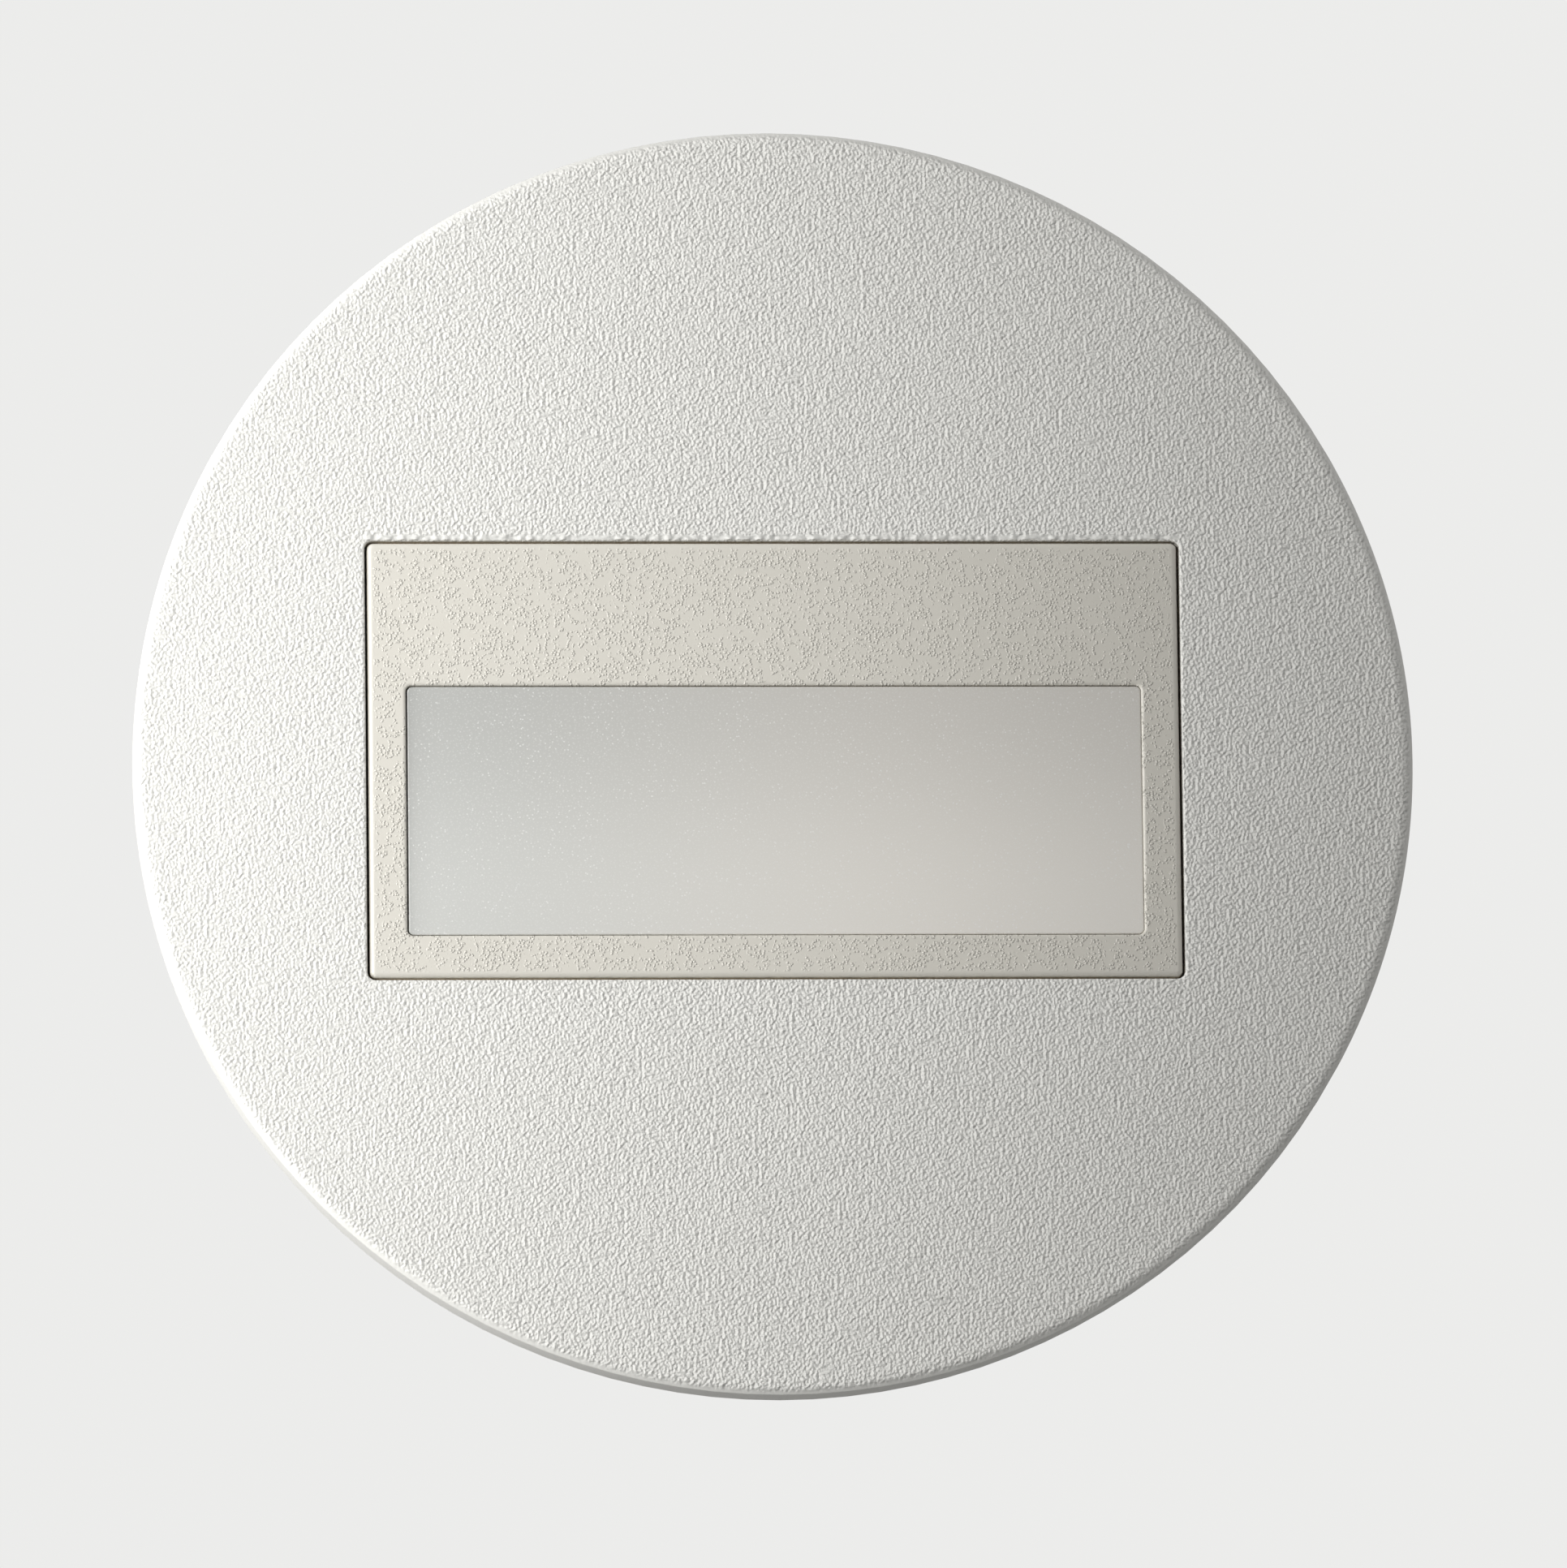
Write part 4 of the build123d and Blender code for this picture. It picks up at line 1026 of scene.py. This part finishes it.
class STEPLIGHT_OT_housing(Operator):
    """Softens the housing and its cap, and builds the cable grommet"""

    bl_idname = "steplight.housing"
    bl_label = "Housing, cap and cable inlet"

    def execute(self, context):
        sizes = context.scene.step_light_housing
        plastic = moulded("can_plastic", sizes.plastic, 0.48, pitch=0.22 * MM, depth=0.012 * MM)
        eased_piece("housing_can", "housing", sizes.edge, plastic)
        eased_piece("housing_cap", "rear_cap", sizes.edge, plastic)
        silicone = moulded("gasket_silicone", sizes.silicone, 0.55, 0.4 * MM, 0.006 * MM, 0.35)
        eased_piece("flat_gasket", "panel_seal", GASKET_EDGE, silicone)
        rubber = moulded("inlet_rubber", sizes.rubber, 0.62, 0.18 * MM, 0.01 * MM, 0.3)
        low, high = GROMMET_BOX
        centre = ((low.x + high.x) / 2, (low.z + high.z) / 2)
        grommet = Shell()
        grommet.turned(self.grommet_profile(sizes), centre, steps=72, closed=True)
        data = grommet.mesh("inlet_grommet")
        stand_in("inlet_grommet", data, "cable_grommet", rubber, EASED_LIMIT)
        return {"FINISHED"}

    def grommet_profile(self, sizes):
        """Half section of the grommet: bore, inner flange, neck in the cap, and ribbed outer flange."""
        low, high = GROMMET_BOX
        cap_back, cap_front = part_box("rear_cap")[1].y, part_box("housing")[1].y
        flange = (high.x - low.x) / 2
        neck = flange - 1.4 * MM
        small, dome, shoulder_in, shoulder_down = 0.15 * MM, 0.7 * MM, 0.18 * MM, 0.3 * MM
        top_in, top_down, bore_edge, rib_margin = 0.6 * MM, 0.1 * MM, 0.2 * MM, 0.25 * MM
        groove = 0.14 * MM
        profile = [
            (sizes.bore, low.y),
            (neck, low.y),
            (flange, cap_front),
            (neck, cap_front),
            (neck, cap_back),
            (flange - small, cap_back),
            (flange, cap_back + small),
            (flange, high.y - dome),
            (flange - shoulder_in, high.y - shoulder_down),
            (flange - top_in, high.y - top_down),
        ]
        outer = flange - top_in
        pitch = (outer - sizes.bore - rib_margin) / sizes.rib_count
        rib = ((0.15, 0.0), (0.55, 0.0), (0.7, groove), (0.95, groove))
        for index in range(sizes.rib_count):
            edge = outer - index * pitch
            profile += [(edge - inward * pitch, high.y - down) for inward, down in rib]
        return profile + [(sizes.bore + bore_edge, high.y), (sizes.bore, high.y - bore_edge)]


class STEPLIGHT_OT_interior(Operator):
    """Gives the pieces inside the housing their finishes"""

    bl_idname = "steplight.interior"
    bl_label = "Pieces inside the housing"

    def execute(self, context):
        metal = context.scene.step_light_fixings.screw
        fine = {"pitch": 0.2 * MM, "depth": 0.004 * MM}
        gloss = {**fine, "specular": 0.5}
        green = solder_resist("green_resist", (0.012, 0.09, 0.035), (0.03, 0.17, 0.07))
        white = solder_resist("white_resist", (0.78, 0.79, 0.78), (0.7, 0.71, 0.7))
        core = moulded("core_and_chips", (0.02, 0.02, 0.023), 0.5, **fine)
        terminal = machined("terminal_metal", metal, 0.28)
        finishes = {
            "reflector": moulded("reflector_white", (0.84, 0.84, 0.83), 0.35, **gloss),
            "led_board": white,
            "leds": moulded("led_yellow", (0.83, 0.6, 0.1), 0.4, **fine),
            "board_screws": terminal,
            "heat_sink": plated("extruded_sink", (0.72, 0.73, 0.74), 0.3, fine["pitch"]),
            "link_pins": machined("pin_brass", (0.68, 0.5, 0.2), 0.25),
            "driver_board": green,
            "transformer": core,
            "driver_chip": core,
            "bridge_rectifier": core,
            "electrolytic_capacitor": moulded("sleeve_blue", (0.015, 0.02, 0.06), 0.25, **gloss),
            "film_capacitor": moulded("film_orange", (0.6, 0.28, 0.03), 0.25, **gloss),
            "fuse_resistor": moulded("resistor_lacquer", (0.1, 0.22, 0.14), 0.4, **fine),
            "terminal_block": moulded("terminal_plastic", (0.5, 0.5, 0.48), 0.4, **fine),
            "terminal_screws": terminal,
        }
        for node, material in finishes.items():
            eased_piece(f"{node}_piece", node, INSIDE_EDGE, material, 1)
        return {"FINISHED"}


class STEPLIGHT_OT_stage(Operator):
    """Builds the floor, the light and the camera"""

    bl_idname = "steplight.stage"
    bl_label = "Floor, light and camera"

    def execute(self, context):
        sizes = context.scene.step_light_stage
        self.lay_floor(sizes)
        self.light_world(context.scene, sizes)
        self.hang_lamps(context.scene, sizes)
        self.set_camera(context.scene, sizes)
        return {"FINISHED"}

    def lay_floor(self, sizes):
        """A plain floor, which looks brighter to the camera than it lights the object."""
        reach, corners = sizes.floor_reach, ((-1, -1), (1, -1), (1, 1), (-1, 1))
        ground = Shell()
        ground.points = [(reach * x, reach * y, -sizes.floor_drop) for x, y in corners]
        ground.faces = [(0, 1, 2, 3)]
        data = ground.mesh("floor")
        floor = bpy.data.objects.new("floor", data)
        bpy.context.scene.collection.objects.link(floor)
        paint = finish("floor_paint")
        cloud = paint.grain(pitch=0.4) * 0.5
        tone = paint.blend(cloud, sizes.floor, toned(sizes.floor, 0.97))
        paint.shade(Base_Color=tone, Roughness=0.85, Specular_IOR_Level=0.1)
        lit = Level(paint, paint.tree.nodes["Principled BSDF"].outputs[0])
        glow = paint.add("ShaderNodeEmission", values={"Color": tone, "Strength": sizes.floor_glow})
        both = paint.add("ShaderNodeAddShader", values={0: lit, 1: glow})
        seen = paint.add("ShaderNodeLightPath", output="Is Camera Ray")
        mixed = paint.add("ShaderNodeMixShader", values={0: seen, 1: lit, 2: both})
        paint.feed(paint.tree.nodes["Material Output"].inputs["Surface"], mixed)
        data.materials.append(paint.owner)

    def light_world(self, scene, sizes):
        """A dim grey all round, which the camera, glossy and clear surfaces see as the backdrop."""
        scene.world = bpy.data.worlds.new("studio")
        sky = Finish(scene.world)
        camera, glossy, clear = (
            sky.add("ShaderNodeLightPath", output=f"Is {kind} Ray")
            for kind in ("Camera", "Glossy", "Transmission")
        )
        tone = sky.blend((camera + glossy + clear).least(1.0), (sizes.ambient,) * 3, sizes.backdrop)
        sky.feed(sky.tree.nodes["Background"].inputs["Color"], tone)

    def hang_lamps(self, scene, sizes):
        """A soft-edged key from the left, four faint fills and a grazing light on the left edges."""
        key = bpy.data.lights.new("key", "SPOT")
        key.energy = sizes.key_power
        key.spot_size = sizes.key_spread
        key.spot_blend = 1.0
        key.shadow_soft_size = 0.02
        target = Vector((-0.2, COVER_BOX[0].y, 0.024))
        self.aim(scene, key, sizes.key_distance, sizes.key_azimuth, sizes.key_elevation, target)
        for name, width, height, watts, azimuth, elevation in LIGHT_PANELS:
            panel = bpy.data.lights.new(name, "AREA")
            panel.shape = "RECTANGLE"
            panel.size = width
            panel.size_y = height
            panel.energy = watts
            distance, middle = sizes.panel_distance, Vector((0, 0, 0))
            self.aim(scene, panel, distance, radians(azimuth), radians(elevation), middle)

    def aim(self, scene, lamp, distance, azimuth, elevation, target):
        """Hangs a lamp round the origin, pointed at the target."""
        holder = bpy.data.objects.new(lamp.name, lamp)
        scene.collection.objects.link(holder)
        holder.location = distance * self.direction(azimuth, elevation)
        holder.rotation_euler = (target - holder.location).to_track_quat("-Z", "Y").to_euler()
        holder.visible_camera = False

    def direction(self, azimuth, elevation):
        """The way out from the cover's face, turned to the right and then upwards."""
        level = cos(elevation)
        return Vector((sin(azimuth) * level, -cos(azimuth) * level, sin(elevation)))

    def set_camera(self, scene, sizes):
        data = bpy.data.cameras.new("camera")
        data.lens = sizes.lens_length
        camera = bpy.data.objects.new("camera", data)
        scene.collection.objects.link(camera)
        back = self.direction(sizes.camera_azimuth, sizes.camera_elevation)
        face = Vector((0.0, COVER_BOX[0].y, 0.0))
        turn = (-back).to_track_quat("-Z", "Y")
        turn = Matrix.Rotation(sizes.camera_roll, 4, back).to_quaternion() @ turn
        right, up = turn @ Vector((1, 0, 0)), turn @ Vector((0, 1, 0))
        aim = face + right * sizes.aim_right - up * sizes.aim_down
        camera.location = aim + back * sizes.camera_distance
        camera.rotation_euler = turn.to_euler()
        scene.camera = camera


class STEPLIGHT_PT_panel(Panel):
    """Lists the pieces of the step light."""

    bl_idname = "STEPLIGHT_PT_panel"
    bl_label = "Step light"
    bl_space_type = "VIEW_3D"
    bl_region_type = "UI"
    bl_category = "Step light"

    def draw(self, context):
        for operator in OPERATORS:
            self.layout.operator(operator.bl_idname)


GROUPS = {
    "step_light_cover": StepLightCover,
    "step_light_panel": StepLightPanel,
    "step_light_fixings": StepLightFixings,
    "step_light_housing": StepLightHousing,
    "step_light_stage": StepLightStage,
}
OPERATORS = (
    STEPLIGHT_OT_cover,
    STEPLIGHT_OT_panel,
    STEPLIGHT_OT_mounting,
    STEPLIGHT_OT_screws,
    STEPLIGHT_OT_housing,
    STEPLIGHT_OT_interior,
    STEPLIGHT_OT_stage,
)


def register():
    for group in GROUPS.values():
        bpy.utils.register_class(group)
    for operator in OPERATORS:
        bpy.utils.register_class(operator)
    bpy.utils.register_class(STEPLIGHT_PT_panel)
    for name, group in GROUPS.items():
        setattr(bpy.types.Scene, name, PointerProperty(type=group))


def unregister():
    for name in GROUPS:
        delattr(bpy.types.Scene, name)
    bpy.utils.unregister_class(STEPLIGHT_PT_panel)
    for operator in reversed(OPERATORS):
        bpy.utils.unregister_class(operator)
    for group in reversed(GROUPS.values()):
        bpy.utils.unregister_class(group)


def main():
    register()
    scene = bpy.context.scene
    scene.view_settings.view_transform = "Standard"
    for operator in OPERATORS:
        package, name = operator.bl_idname.split(".")
        getattr(getattr(bpy.ops, package), name)()


if __name__ == "__main__":
    main()
